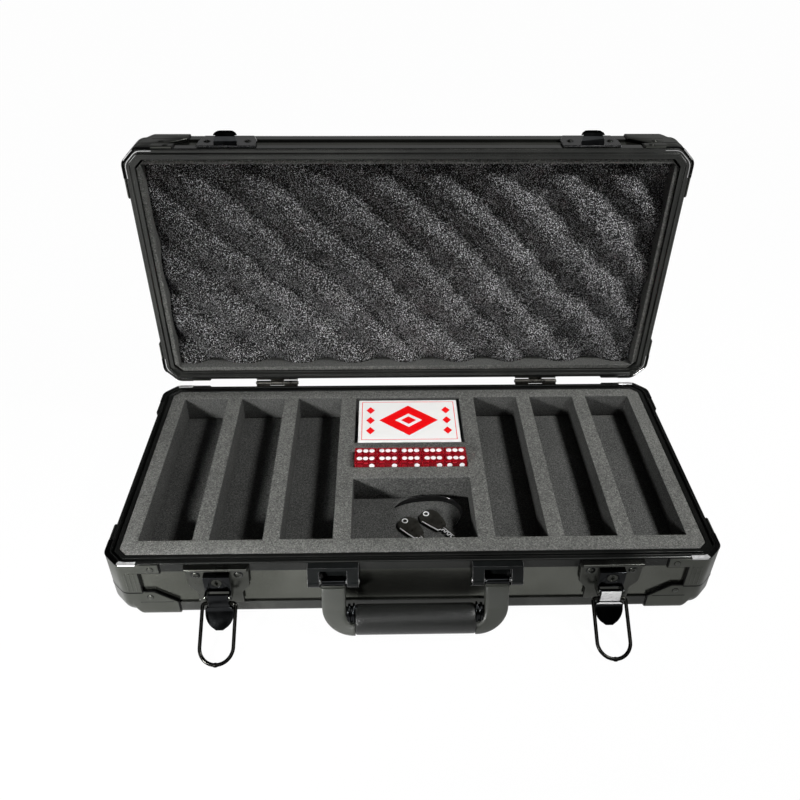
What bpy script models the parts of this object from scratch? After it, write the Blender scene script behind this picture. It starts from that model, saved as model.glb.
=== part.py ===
"""Hard sided poker chip case with its lid open, a chip tray, dice, a card box and keys.

Lengths are metres and +Z is up. The origin is the centre of the base's underside, +X runs
to the right along the case and -Y faces the user, where the handle and the latches are.
The case stands on its four corner guards, a little below the origin.
"""
import math

import bmesh
import bpy
from mathutils import Matrix, Vector

# Overall sizes of the case
CASE_WIDTH = 0.465
CASE_DEPTH = 0.226
BASE_HEIGHT = 0.0570
LID_HEIGHT = 0.0360
CORNER_CHAMFER = 0.0115
CLEARANCE = 0.0003
OVERRUN = 0.0030

# Wall panels and the floor and top sheets
PANEL_THICKNESS = 0.0035
PANEL_RECESS = 0.0015
SHEET_THICKNESS = 0.0030

# Rim rails around the opening of the base and the lid
RIM_WIDTH = 0.0090
RIM_BAND = 0.0090
RIM_WEB = 0.0040
RIM_EDGE = 0.0008
RIM_INNER_LIP = 0.0012
GROOVE_SETBACK = 0.0032
GROOVE_WIDTH = 0.0024
GROOVE_DEPTH = 0.0022
TONGUE_HEIGHT = 0.0018
LID_GAP = 0.0006

# Edge rails around the floor of the base and the top of the lid
EDGE_BAND = 0.0130
EDGE_RADIUS = 0.0050
EDGE_LEDGE = 0.0140
EDGE_SEAT = 0.0060
EDGE_FLANGE = 0.0170
FLANGE_THICKNESS = 0.0015
EDGE_CORNER_INSET = 0.0015

# Corner guards
GUARD_THICKNESS = 0.0012
GUARD_TAB_REACH = 0.0410
GUARD_POST_REACH = 0.0245
GUARD_CAP_REACH = 0.0500
GUARD_CAP_SHOULDER = 0.0335
GUARD_CAP_HEIGHT = 0.0265
GUARD_CAP_END_HEIGHT = 0.0150
GUARD_FOOT = 0.0139
GUARD_SEAM = 0.0008
GUARD_SEAM_DEPTH = 0.0006
BALL_REACH = 0.0130
BALL_RISE = 0.0150
BALL_SETBACK = 0.0100
ARC_STEPS = 4

# Foam in the base: a cut out tray over a plain pad
TRAY_THICKNESS = 0.0238
SLOTS_PER_SIDE = 3
SLOT_WEB = 0.0131
SIDE_WALL = 0.0120
CENTRE_WEB = 0.0139
KEY_POCKET_LENGTH = 0.0680

# Loose contents
DIE_SIZE = 0.0190
DIE_COUNT = 5
DIE_ROUNDING = 0.0009
DIE_STAND = 0.0055
CARD_BOX_LENGTH = 0.0920
CARD_BOX_WIDTH = 0.0620
CARD_BOX_HEIGHT = 0.0165
CARD_BOX_ROUNDING = 0.0008
CARD_BOX_GAP = 0.0007
CARD_BOX_SPACE = 0.0050
POCKET_PLAY = 0.0005
DICE_ROW_PLAY = 0.0018
KEY_THICKNESS = 0.0020
KEY_HEAD_RADIUS = 0.0092
KEY_HEAD_SIDE = 0.0076
KEY_HOLE_RADIUS = 0.0017
KEY_HOLE_SETBACK = 0.0058
KEY_BLADE_LENGTH = 0.0195
KEY_BLADE_WIDTH = 0.0056
KEY_BIT_DEPTH = 0.0012
KEY_BITS = 4
KEY_HOLES = {"key_right": (0.0118, -0.0209), "key_left": (-0.0060, -0.0288)}
STRAP_HEIGHT = 0.0052
STRAP_THICKNESS = 0.0009
STRAP_ROUTE = [
    (-0.0260, -0.0102), (-0.0167, -0.0071), (-0.0029, -0.0041), (0.0118, -0.0026), (0.0255, -0.0031),
    (0.0358, -0.0068), (0.0409, -0.0129), (0.0407, -0.0204), (0.0372, -0.0279), (0.0323, -0.0360),
]

# Foam in the lid: a wall strip and an egg crate sheet
LINER_THICKNESS = 0.0040
LINER_SETBACK = 0.0020
CRATE_PITCH = 0.0520
CRATE_RELIEF = 0.0150
CRATE_SETBACK = 0.0075
CRATE_STEPS_PER_PITCH = 7

# Hinges at the back
HINGE_END_DISTANCE = 0.1060
HINGE_WIDTH = 0.0400
HINGE_LEAF_HEIGHT = 0.0185
HINGE_LEAF_THICKNESS = 0.0012
HINGE_KNUCKLE_RADIUS = 0.0024
HINGE_PIN_RADIUS = 0.0013
PIN_PLAY = 0.0002
OPEN_ANGLE = math.radians(90)

# Latch plates on the front of the base
LATCH_GUARD_GAP = 0.0102
LATCH_TOP_DROP = 0.0010
LATCH_TOP_HALF = 0.0232
LATCH_WAIST_HALF = 0.0175
LATCH_FOOT_HALF = 0.0165
LATCH_SHOULDER_DROP = 0.0120
LATCH_WAIST_DROP = 0.0240
LATCH_HEIGHT = 0.0405
LATCH_PLATE_STAND = 0.0028
LATCH_PLATE_EDGE = 0.0009
LOCK_HALF_WIDTH = 0.0095
LOCK_TOP_DROP = 0.0050
LOCK_FOOT_DROP = 0.0216
LOCK_STAND = 0.0080
LOCK_SLOPE = 0.0010
BARREL_RADIUS = 0.0040
BARREL_DEPTH = 0.0045
KEYWAY_LENGTH = 0.0050
KEYWAY_WIDTH = 0.0014
KEYWAY_DEPTH = 0.0016

# Draw levers and wire loops
LEVER_PIVOT_STAND = 0.0102
LEVER_PIVOT_DROP = 0.0260
LOOP_PIVOT_STAND = 0.0103
LOOP_PIVOT_DROP = 0.0330
LEVER_HALF_WIDTH = 0.0080
LEVER_LIP_HALF_WIDTH = 0.0094
LEVER_THICKNESS = 0.0013
LEVER_KNUCKLE_RADIUS = 0.0023
LEVER_PIN_RADIUS = 0.0012
LEVER_TAIL_RISE = 0.0044
LEVER_LENGTH = 0.0250
LEVER_LIP_LEAN = 0.0090
LEVER_EAR_THICKNESS = 0.0017
LEVER_EAR_RADIUS = 0.0031
LIP_STEPS = 5
LOOP_WIRE_RADIUS = 0.0014
LOOP_HALF_WIDTH = 0.0125
LOOP_LENGTH = 0.0444
LOOP_END_LENGTH = 0.0055
LOOP_KNUCKLE_RADIUS = 0.0025
LOOP_BEND_RADIUS = 0.0024

# Catches on the front of the lid, placed by the closed position of the loops
CATCH_HALF_WIDTH = 0.0240
CATCH_FOOT_HALF_WIDTH = 0.0205
CATCH_HEIGHT = 0.0255
CATCH_START = 0.0015
CATCH_THICKNESS = 0.0017
HOOK_HALF_WIDTH = 0.0095
HOOK_STAND = 0.0118
HOOK_SEAT_STAND = 0.0075

# Handle and its brackets
HANDLE_PIVOT_STAND = 0.0070
HANDLE_PIVOT_DROP = 0.0143
HANDLE_ARM_OFFSET = 0.0615
HANDLE_ARM_WIDTH = 0.0180
HANDLE_ARM_THICKNESS = 0.0090
HANDLE_DROP = 0.0336
HANDLE_ELBOW_RADIUS = 0.0230
HANDLE_ELBOW_THICKNESS = 0.0180
HANDLE_ELBOW_FOOT = 0.0004
ELBOW_STEPS = 5
SECTION_POINTS = 16
HANDLE_KNUCKLE_RADIUS = 0.0031
HANDLE_PIN_RADIUS = 0.0015
HANDLE_CORE_RADIUS = 0.0050
HANDLE_LEAN = math.radians(16.4)
GRIP_RADIUS = 0.0115
GRIP_COLLAR = 0.0070
GRIP_STEPS = 24
BRACKET_WIDTH = 0.0380
BRACKET_DROP = 0.0010
BRACKET_HEIGHT = 0.0255
BRACKET_SHELF_STAND = 0.0055
BRACKET_NOTCH_WIDTH = 0.0206
BRACKET_NOTCH_DROP = 0.0034
BRACKET_PLATE_STAND = 0.0020
BRACKET_LUG_RADIUS = 0.0040

# How the foam left over by the pockets is shared out, from the front wall to the back one
WALL_SHARES = {"front": 0.271, "dice": 0.265, "card": 0.246, "back": 0.218}

# How square the handle's section is at the arm and at the grip
ARM_SQUARENESS_SHARE = 0.30
ELBOW_SQUARENESS_SHARE = 0.72

# Shares that do not depend on a size
DIAGONAL_SHARE = math.sqrt(2) - 1
ROUND_STEPS = 16

FRONT = -CASE_DEPTH / 2
BACK = CASE_DEPTH / 2
LID_RIM = BASE_HEIGHT + LID_GAP
CASE_TOP = LID_RIM + LID_HEIGHT
HINGE_AXIS_Y = BACK + CLEARANCE + HINGE_LEAF_THICKNESS + CLEARANCE + HINGE_KNUCKLE_RADIUS
HINGE_AXIS_Z = BASE_HEIGHT + LID_GAP / 2
TABLE_Z = -CLEARANCE - GUARD_THICKNESS
TRAY_FLOOR_Z = BASE_HEIGHT - TRAY_THICKNESS - CLEARANCE
LATCH_OFFSET = CASE_WIDTH / 2 - GUARD_CAP_REACH - LATCH_GUARD_GAP - CATCH_HALF_WIDTH
HINGE_OFFSET = CASE_WIDTH / 2 - HINGE_END_DISTANCE

for old_object in list(bpy.data.objects):
    bpy.data.objects.remove(old_object, do_unlink=True)

PARTS = bpy.data.collections.new("poker_chip_case")
CUTTERS = bpy.data.collections.new("cutters")
bpy.context.scene.collection.children.link(PARTS)
bpy.context.scene.collection.children.link(CUTTERS)


def make_material(name, colour, roughness, metallic=0.0):
    """A plain finish for one kind of piece."""
    material = bpy.data.materials.new(name)
    material.use_nodes = True
    shader = material.node_tree.nodes["Principled BSDF"]
    shader.inputs["Base Color"].default_value = (*colour, 1.0)
    shader.inputs["Roughness"].default_value = roughness
    shader.inputs["Metallic"].default_value = metallic
    return material


PANEL_FINISH = make_material("panel_abs", (0.062, 0.064, 0.058), 0.55)
RAIL_FINISH = make_material("rail_anodised", (0.012, 0.013, 0.014), 0.25, 0.8)
GUARD_FINISH = make_material("guard_coated", (0.070, 0.070, 0.062), 0.45, 0.3)
METAL_FINISH = make_material("black_nickel", (0.010, 0.011, 0.012), 0.18, 0.9)
HINGE_FINISH = make_material("hinge_steel", (0.45, 0.38, 0.26), 0.35, 1.0)
PIN_FINISH = make_material("pin_steel", (0.25, 0.25, 0.25), 0.3, 1.0)
ARM_FINISH = make_material("handle_abs", (0.055, 0.056, 0.050), 0.5)
GRIP_FINISH = make_material("grip_vinyl", (0.015, 0.015, 0.016), 0.5)
TRAY_FINISH = make_material("tray_foam", (0.075, 0.075, 0.072), 0.95)
CRATE_FINISH = make_material("crate_foam", (0.030, 0.030, 0.032), 0.95)
DIE_FINISH = make_material("die_acrylic", (0.50, 0.010, 0.015), 0.1)
CARD_FINISH = make_material("card_box_card", (0.85, 0.85, 0.84), 0.4)
KEY_FINISH = make_material("key_nickel", (0.05, 0.05, 0.045), 0.3, 0.9)
STRAP_FINISH = make_material("strap_plastic", (0.010, 0.010, 0.010), 0.2)


def add_object(name, bm, finish, parent=None, origin=(0, 0, 0), smooth=False):
    """Turn a finished bmesh into a named piece, its origin at a joint or its parent's."""
    mesh = bpy.data.meshes.new(name)
    bmesh.ops.translate(bm, verts=bm.verts, vec=-Vector(origin))
    bm.to_mesh(mesh)
    bm.free()
    if smooth:
        mesh.shade_smooth()
        mesh.set_sharp_from_angle(angle=math.radians(30))
    mesh.materials.append(finish)
    piece = bpy.data.objects.new(name, mesh)
    PARTS.objects.link(piece)
    piece.parent = parent
    if parent is None:
        piece.location = origin
    return piece


def add_pivot(name, location, rotation=(0, 0, 0)):
    """An empty on a joint's axis, which carries the pieces that turn or slide there."""
    pivot = bpy.data.objects.new(name, None)
    PARTS.objects.link(pivot)
    pivot.location = location
    pivot.rotation_euler = rotation
    return pivot


def apply_boolean(piece, tool_bm, operation="DIFFERENCE", origin=(0, 0, 0)):
    """Cut, join or trim a piece with a tool shape that stays in the cutters collection."""
    mesh = bpy.data.meshes.new(piece.name + "_tool")
    bmesh.ops.translate(tool_bm, verts=tool_bm.verts, vec=-Vector(origin))
    tool_bm.to_mesh(mesh)
    tool_bm.free()
    tool = bpy.data.objects.new(piece.name + "_tool", mesh)
    CUTTERS.objects.link(tool)
    tool.hide_render = True
    tool.display_type = "WIRE"
    tool.parent = piece.parent
    if piece.parent is None:
        tool.location = origin
    modifier = piece.modifiers.new(operation.lower(), "BOOLEAN")
    modifier.operation = operation
    modifier.object = tool
    modifier.solver = "EXACT"


def add_bevel(piece, width, segments=2, angle=math.radians(40)):
    """Round the edges of a piece."""
    modifier = piece.modifiers.new("rounding", "BEVEL")
    modifier.width = width
    modifier.segments = segments
    modifier.limit_method = "ANGLE"
    modifier.angle_limit = angle


def block(low, high):
    """A box between two corners."""
    bm = bmesh.new()
    bmesh.ops.create_cube(bm, size=1.0)
    low = Vector(low)
    high = Vector(high)
    bmesh.ops.scale(bm, verts=bm.verts, vec=high - low)
    bmesh.ops.translate(bm, verts=bm.verts, vec=(low + high) / 2)
    return bm


def rod(centre, radius, length, axis="X", steps=ROUND_STEPS):
    """A round bar along X, Y or Z."""
    bm = bmesh.new()
    bmesh.ops.create_cone(
        bm, cap_ends=True, segments=steps, radius1=radius, radius2=radius, depth=length
    )
    turns = {"X": Matrix.Rotation(math.pi / 2, 3, "Y"), "Y": Matrix.Rotation(math.pi / 2, 3, "X")}
    if axis in turns:
        bmesh.ops.rotate(bm, verts=bm.verts, matrix=turns[axis])
    bmesh.ops.translate(bm, verts=bm.verts, vec=centre)
    return bm


def face_outward(bm):
    """Turn every face of a closed shape to the outside."""
    bmesh.ops.recalc_face_normals(bm, faces=bm.faces)
    if bm.calc_volume(signed=True) < 0:
        bmesh.ops.reverse_faces(bm, faces=bm.faces)


def extrude_outline(points, travel):
    """A flat outline in space, pushed along a straight line into a solid."""
    bm = bmesh.new()
    face = bm.faces.new([bm.verts.new(point) for point in points])
    pushed = bmesh.ops.extrude_face_region(bm, geom=[face])
    moved = [item for item in pushed["geom"] if isinstance(item, bmesh.types.BMVert)]
    bmesh.ops.translate(bm, verts=moved, vec=travel)
    face_outward(bm)
    return bm


def profile_along_x(profile, start, end):
    """A profile of (stand off the front wall, height) points, pushed along X."""
    points = [(start, FRONT - stand, height) for stand, height in profile]
    return extrude_outline(points, (end - start, 0, 0))


def outline_on_front(outline, near, far):
    """An outline of (x, height) points, pushed from one stand off the front to another."""
    points = [(x, FRONT - near, height) for x, height in outline]
    return extrude_outline(points, (0, near - far, 0))


def arc(centre, radius, start, end, steps):
    """Points on a circular arc between two angles given in degrees."""
    angles = [math.radians(start + (end - start) * step / steps) for step in range(steps + 1)]
    return [(centre[0] + radius * math.cos(a), centre[1] + radius * math.sin(a)) for a in angles]


def loft(rows, closed):
    """A skin over rows of points that all have as many, closed round or capped at its ends."""
    bm = bmesh.new()
    loops = [[bm.verts.new(point) for point in row] for row in rows]
    spans = len(loops) if closed else len(loops) - 1
    for index in range(spans):
        here = loops[index]
        there = loops[(index + 1) % len(loops)]
        for side in range(len(here)):
            other = (side + 1) % len(here)
            bm.faces.new((here[side], here[other], there[other], there[side]))
    if not closed:
        bm.faces.new(loops[0])
        bm.faces.new(loops[-1])
    face_outward(bm)
    return bm


def octagon(inset):
    """The case's plan outline, moved inward by the inset."""
    x = CASE_WIDTH / 2 - inset
    y = CASE_DEPTH / 2 - inset
    cut = max(CORNER_CHAMFER - inset * (1 - DIAGONAL_SHARE), CLEARANCE)
    quarter = [(x, y - cut), (x - cut, y)]
    return (
        quarter
        + [(-px, py) for px, py in reversed(quarter)]
        + [(-px, -py) for px, py in quarter]
        + [(px, -py) for px, py in reversed(quarter)]
    )


def octagon_prism(inset, low, high):
    """An upright solid with the case's plan outline."""
    points = [(x, y, low) for x, y in octagon(inset)]
    return extrude_outline(points, (0, 0, high - low))


def corner_station(side_x, side_y, place, inset, setback):
    """One plan point of a corner: its straight runs are places 0 and 3, its bends 1 and 2."""
    x = CASE_WIDTH / 2
    y = CASE_DEPTH / 2
    slide = CORNER_CHAMFER + inset * DIAGONAL_SHARE
    run = CORNER_CHAMFER + setback
    places = [
        (x - run, y - inset),
        (x - slide, y - inset),
        (x - inset, y - slide),
        (x - inset, y - run),
    ]
    px, py = places[place]
    return side_x * px, side_y * py


def corner_row(side_x, side_y, place, section, setback, level):
    """A section of (inset, height) points set up at one place of a corner."""
    row = []
    for inset, height in section:
        x, y = corner_station(side_x, side_y, place, inset, setback)
        row.append((x, y, level(height)))
    return row


CORNERS = [(1, -1), (1, 1), (-1, 1), (-1, -1)]


def sweep_rail(section, corner_section, level):
    """A rail's section carried round the case, with its own section at the corner bends."""
    rows = []
    for side_x, side_y in CORNERS:
        places = [0, 1, 2, 3] if side_x * side_y < 0 else [3, 2, 1, 0]
        for place in places:
            bend = place in (1, 2)
            used = corner_section if bend else section
            rows.append(corner_row(side_x, side_y, place, used, BALL_SETBACK, level))
    return loft(rows, closed=True)


def rim_section(height, tongue):
    """The rim rail: an outer band, a web with a groove or a tongue, and an inner lip."""
    inner = PANEL_RECESS + PANEL_THICKNESS + CLEARANCE
    lip = PANEL_RECESS - CLEARANCE
    groove_end = GROOVE_SETBACK + GROOVE_WIDTH
    if tongue:
        start = GROOVE_SETBACK + CLEARANCE + CLEARANCE / 2
        end = groove_end - CLEARANCE - CLEARANCE / 2
        joint = [
            (start, height),
            (start, height + TONGUE_HEIGHT),
            (end, height + TONGUE_HEIGHT),
            (end, height),
        ]
    else:
        joint = [
            (GROOVE_SETBACK, height),
            (GROOVE_SETBACK, height - GROOVE_DEPTH),
            (groove_end, height - GROOVE_DEPTH),
            (groove_end, height),
        ]
    return (
        [(0, height - RIM_BAND), (0, height - RIM_EDGE), (RIM_EDGE, height)]
        + joint
        + [
            (RIM_WIDTH, height),
            (RIM_WIDTH, height - RIM_WEB),
            (inner + RIM_INNER_LIP, height - RIM_WEB),
            (inner + RIM_INNER_LIP, height - RIM_BAND),
            (inner, height - RIM_BAND),
            (inner, height - RIM_WEB),
            (lip, height - RIM_WEB),
            (lip, height - RIM_BAND),
        ]
    )


def rounded_foot(start, reach, rise, offset):
    """A quarter round from a wall at the start inset to the underside, moved out by offset."""
    points = []
    for step in range(ARC_STEPS + 1):
        angle = math.pi / 2 * step / ARC_STEPS
        inset = start + reach - (reach + offset) * math.cos(angle)
        height = rise - (rise + offset) * math.sin(angle)
        points.append((inset, height))
    return points


def edge_section(start, reach, rise):
    """The edge rail: a rounded band, a channel for the wall panel and a flange for the sheet."""
    inner = PANEL_RECESS + PANEL_THICKNESS + CLEARANCE
    lip = PANEL_RECESS - CLEARANCE + start
    sheet = SHEET_THICKNESS + CLEARANCE
    top = sheet + FLANGE_THICKNESS
    return (
        [(start, EDGE_BAND)]
        + rounded_foot(start, reach, rise, 0)
        + [
            (max(EDGE_LEDGE, start + reach + CLEARANCE), 0),
            (max(EDGE_LEDGE, start + reach + CLEARANCE), sheet),
            (EDGE_FLANGE, sheet),
            (EDGE_FLANGE, top),
            (inner + start + RIM_INNER_LIP, top),
            (inner + start + RIM_INNER_LIP, EDGE_BAND),
            (inner + start, EDGE_BAND),
            (inner + start, EDGE_SEAT),
            (lip, EDGE_SEAT),
            (lip, EDGE_BAND),
        ]
    )


def guard_section(height, reach, rise):
    """The corner guard's shell from the rim down and under the floor."""
    inside = CLEARANCE
    outside = CLEARANCE + GUARD_THICKNESS
    top = height - CLEARANCE
    outer = [(-outside, top)] + rounded_foot(0, reach, rise, outside)
    inner = [(-inside, top)] + rounded_foot(0, reach, rise, inside)
    return outer + [(GUARD_FOOT, -outside), (GUARD_FOOT, -inside)] + list(reversed(inner))


def guard_window(height):
    """What is cut away beside a guard's post, between its tab and its cap."""
    tab = height - RIM_BAND
    far = GUARD_CAP_REACH + OVERRUN
    over = height + OVERRUN
    cap = min(GUARD_CAP_HEIGHT, tab - CLEARANCE)
    return [
        (GUARD_POST_REACH, tab),
        (GUARD_TAB_REACH, tab),
        (GUARD_TAB_REACH, over),
        (far, over),
        (far, GUARD_CAP_END_HEIGHT),
        (GUARD_CAP_REACH, GUARD_CAP_END_HEIGHT),
        (GUARD_CAP_SHOULDER, cap),
        (GUARD_POST_REACH, cap),
    ]


def add_guard(name, side_x, side_y, height, level, place_piece):
    """One corner guard: a tab on the rim, a post down the corner and a rounded cap."""
    straight = guard_section(height, EDGE_RADIUS, EDGE_RADIUS)
    rounded = guard_section(height, BALL_REACH, BALL_RISE)
    far = GUARD_CAP_REACH - CORNER_CHAMFER
    rows = [
        corner_row(side_x, side_y, 0, straight, far, level),
        corner_row(side_x, side_y, 0, straight, BALL_SETBACK, level),
        corner_row(side_x, side_y, 1, rounded, 0, level),
        corner_row(side_x, side_y, 2, rounded, 0, level),
        corner_row(side_x, side_y, 3, straight, BALL_SETBACK, level),
        corner_row(side_x, side_y, 3, straight, far, level),
    ]
    guard = place_piece(name, loft(rows, closed=False), GUARD_FINISH)
    half_width = CASE_WIDTH / 2
    half_depth = CASE_DEPTH / 2
    outline = guard_window(height)
    out = GUARD_THICKNESS + OVERRUN
    front_points = [(side_x * (half_width - u), side_y * (half_depth + out), level(z)) for u, z in outline]
    side_points = [(side_x * (half_width + out), side_y * (half_depth - u), level(z)) for u, z in outline]
    inward = out + EDGE_RADIUS
    front_tool = extrude_outline(front_points, (0, -side_y * inward, 0))
    side_tool = extrude_outline(side_points, (-side_x * inward, 0, 0))
    cut_piece(guard, front_tool, place_piece)
    cut_piece(guard, side_tool, place_piece)
    outer = -CLEARANCE - GUARD_THICKNESS
    seam_low = min(GUARD_CAP_HEIGHT, height - RIM_BAND - CLEARANCE) - GUARD_SEAM
    seam = [
        (outer - CLEARANCE, seam_low),
        (outer - CLEARANCE, seam_low + GUARD_SEAM),
        (outer + GUARD_SEAM_DEPTH, seam_low + GUARD_SEAM),
        (outer + GUARD_SEAM_DEPTH, seam_low),
    ]
    seam_rows = [
        corner_row(side_x, side_y, 0, seam, far, level),
        corner_row(side_x, side_y, 1, seam, 0, level),
        corner_row(side_x, side_y, 2, seam, 0, level),
        corner_row(side_x, side_y, 3, seam, far, level),
    ]
    cut_piece(guard, loft(seam_rows, closed=False), place_piece)


def cut_piece(piece, tool, place_piece):
    """Cut a piece with a tool given in the case's own closed position."""
    apply_boolean(piece, tool, origin=place_piece.origin)


class Placer:
    """Adds pieces to the base, or to the lid through its hinge."""

    def __init__(self, parent, origin):
        self.parent = parent
        self.origin = origin

    def __call__(self, name, bm, finish, smooth=False):
        return add_object(name, bm, finish, self.parent, self.origin, smooth)


def base_level(height):
    """Heights of the base are measured from its underside."""
    return height


def lid_level(height):
    """Heights of the lid are measured from its top, downward when it is closed."""
    return CASE_TOP - height


def add_shell(prefix, sheet_name, height, tongue, level, place_piece):
    """The rails, panels, sheet and guards that the base and the lid have in common."""
    rim = rim_section(height, tongue)
    place_piece(prefix + "_rim_rail", sweep_rail(rim, rim, level), RAIL_FINISH)
    edge = edge_section(0, EDGE_RADIUS, EDGE_RADIUS)
    edge_corner = edge_section(EDGE_CORNER_INSET, BALL_REACH - EDGE_CORNER_INSET, EDGE_BAND - CLEARANCE)
    place_piece(prefix + "_edge_rail", sweep_rail(edge, edge_corner, level), RAIL_FINISH)

    sheet_edge = max(EDGE_LEDGE, BALL_REACH + CLEARANCE) + CLEARANCE
    sheet = octagon_prism(sheet_edge, level(0), level(SHEET_THICKNESS))
    place_piece(sheet_name, sheet, PANEL_FINISH)

    low = EDGE_SEAT + CLEARANCE
    high = height - RIM_WEB - CLEARANCE
    panel_end = CORNER_CHAMFER + BALL_SETBACK + CLEARANCE
    long_half = CASE_WIDTH / 2 - panel_end
    short_half = CASE_DEPTH / 2 - panel_end
    outer = PANEL_RECESS
    inner = PANEL_RECESS + PANEL_THICKNESS
    bottom = min(level(low), level(high))
    top = max(level(low), level(high))
    walls = {
        "front": ((-long_half, FRONT + outer), (long_half, FRONT + inner)),
        "back": ((-long_half, BACK - inner), (long_half, BACK - outer)),
        "left": ((-CASE_WIDTH / 2 + outer, -short_half), (-CASE_WIDTH / 2 + inner, short_half)),
        "right": ((CASE_WIDTH / 2 - inner, -short_half), (CASE_WIDTH / 2 - outer, short_half)),
    }
    for side, (near, far) in walls.items():
        wall = block((*near, bottom), (*far, top))
        place_piece(prefix + "_" + side + "_panel", wall, PANEL_FINISH)

    names = {(1, -1): "front_right", (1, 1): "back_right", (-1, 1): "back_left", (-1, -1): "front_left"}
    for corner in CORNERS:
        add_guard(prefix + "_guard_" + names[corner], *corner, height, level, place_piece)


place_base = Placer(None, (0, 0, 0))
add_shell("base", "base_floor_sheet", BASE_HEIGHT, False, base_level, place_base)

lid_pivot = add_pivot("lid_hinge_pivot", (0, HINGE_AXIS_Y, HINGE_AXIS_Z), (-OPEN_ANGLE, 0, 0))
place_lid = Placer(lid_pivot, (0, HINGE_AXIS_Y, HINGE_AXIS_Z))
add_shell("lid", "lid_top_sheet", LID_HEIGHT, True, lid_level, place_lid)

# Foam of the base
foam_inset = RIM_WIDTH + CLEARANCE
pad_bottom = SHEET_THICKNESS + CLEARANCE + FLANGE_THICKNESS + CLEARANCE
place_base("base_foam_pad", octagon_prism(foam_inset, pad_bottom, TRAY_FLOOR_Z), TRAY_FINISH)
tray_bottom = TRAY_FLOOR_Z + CLEARANCE
tray = place_base("chip_tray_foam", octagon_prism(foam_inset, tray_bottom, BASE_HEIGHT), TRAY_FINISH)

dice_row = DIE_COUNT * DIE_SIZE + (DIE_COUNT - 1) * CLEARANCE
pocket_width = max(dice_row + DICE_ROW_PLAY, CARD_BOX_LENGTH + CARD_BOX_SPACE)
pocket_half = pocket_width / 2
dice_pocket_length = DIE_SIZE + POCKET_PLAY
card_pocket_length = CARD_BOX_WIDTH + CARD_BOX_SPACE
tray_depth = CASE_DEPTH - 2 * foam_inset
spare = tray_depth - KEY_POCKET_LENGTH - dice_pocket_length - card_pocket_length
slot_low = FRONT + foam_inset + spare * WALL_SHARES["front"]
key_pocket_end = slot_low + KEY_POCKET_LENGTH
dice_start = key_pocket_end + spare * WALL_SHARES["dice"]
dice_end = dice_start + dice_pocket_length
card_start = dice_end + spare * WALL_SHARES["card"]
slot_high = card_start + card_pocket_length

tray_half = CASE_WIDTH / 2 - foam_inset
webs = CENTRE_WEB + SLOT_WEB * (SLOTS_PER_SIDE - 1) + SIDE_WALL
slot_width = (tray_half - pocket_half - webs) / SLOTS_PER_SIDE
slot_start = pocket_half + CENTRE_WEB + slot_width / 2
slot_centres = [slot_start + (slot_width + SLOT_WEB) * count for count in range(SLOTS_PER_SIDE)]
for centre in [-x for x in reversed(slot_centres)] + slot_centres:
    slot = block(
        (centre - slot_width / 2, slot_low, tray_bottom - OVERRUN),
        (centre + slot_width / 2, slot_high, BASE_HEIGHT + OVERRUN),
    )
    apply_boolean(tray, slot)

dice_floor = BASE_HEIGHT - (DIE_SIZE - DIE_STAND)
card_floor = BASE_HEIGHT - CARD_BOX_HEIGHT
pockets = [
    (slot_low, key_pocket_end, tray_bottom - OVERRUN),
    (dice_start, dice_end, dice_floor - CLEARANCE),
    (card_start, slot_high, card_floor - CLEARANCE),
]
for near, far, floor in pockets:
    pocket = block((-pocket_half, near, floor), (pocket_half, far, BASE_HEIGHT + OVERRUN))
    apply_boolean(tray, pocket)

# Foam of the lid
liner_outer = RIM_WIDTH + CLEARANCE
liner_inner = liner_outer + LINER_THICKNESS
liner_low = SHEET_THICKNESS + CLEARANCE + FLANGE_THICKNESS + CLEARANCE
liner_high = LID_HEIGHT - LINER_SETBACK
liner = octagon_prism(liner_outer, lid_level(liner_high), lid_level(liner_low))
liner = place_lid("lid_liner_foam", liner, TRAY_FINISH)
liner_hole = block(
    (liner_inner - CASE_WIDTH / 2, liner_inner - CASE_DEPTH / 2, lid_level(liner_high) - OVERRUN),
    (CASE_WIDTH / 2 - liner_inner, CASE_DEPTH / 2 - liner_inner, lid_level(liner_low) + OVERRUN),
)
cut_piece(liner, liner_hole, place_lid)


def crate_height(x, y):
    """Egg crate relief: rows of peaks with valleys between, both ways on the diagonal."""
    turn = 2 * math.pi / CRATE_PITCH
    return CRATE_RELIEF / 2 * (1 + math.cos(turn * x) * math.cos(turn * y))


def egg_crate():
    """The lid's foam sheet: a waved face grown from a grid, with straight sides and a flat back."""
    half_x = CASE_WIDTH / 2 - liner_inner - CLEARANCE
    half_y = CASE_DEPTH / 2 - liner_inner - CLEARANCE
    step = CRATE_PITCH / CRATE_STEPS_PER_PITCH
    bm = bmesh.new()
    bmesh.ops.create_grid(
        bm,
        x_segments=round(2 * half_x / step),
        y_segments=round(2 * half_y / step),
        size=1.0,
    )
    bmesh.ops.scale(bm, verts=bm.verts, vec=(half_x, half_y, 1))
    valley = LID_HEIGHT - CRATE_SETBACK - CRATE_RELIEF
    for vertex in bm.verts:
        vertex.co.z = lid_level(valley + crate_height(vertex.co.x, vertex.co.y))
    border = [edge for edge in bm.edges if edge.is_boundary]
    skirt = bmesh.ops.extrude_edge_only(bm, edges=border)
    back_level = SHEET_THICKNESS + CLEARANCE + FLANGE_THICKNESS + CLEARANCE
    for item in skirt["geom"]:
        if isinstance(item, bmesh.types.BMVert):
            item.co.z = lid_level(back_level)
    bmesh.ops.holes_fill(bm, edges=[edge for edge in bm.edges if edge.is_boundary], sides=0)
    face_outward(bm)
    return bm


place_lid("egg_crate_foam", egg_crate(), CRATE_FINISH, smooth=True)

# Hinges: two leaves with interleaved knuckles on one pin
HINGE_THIRD = HINGE_WIDTH / 3


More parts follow.
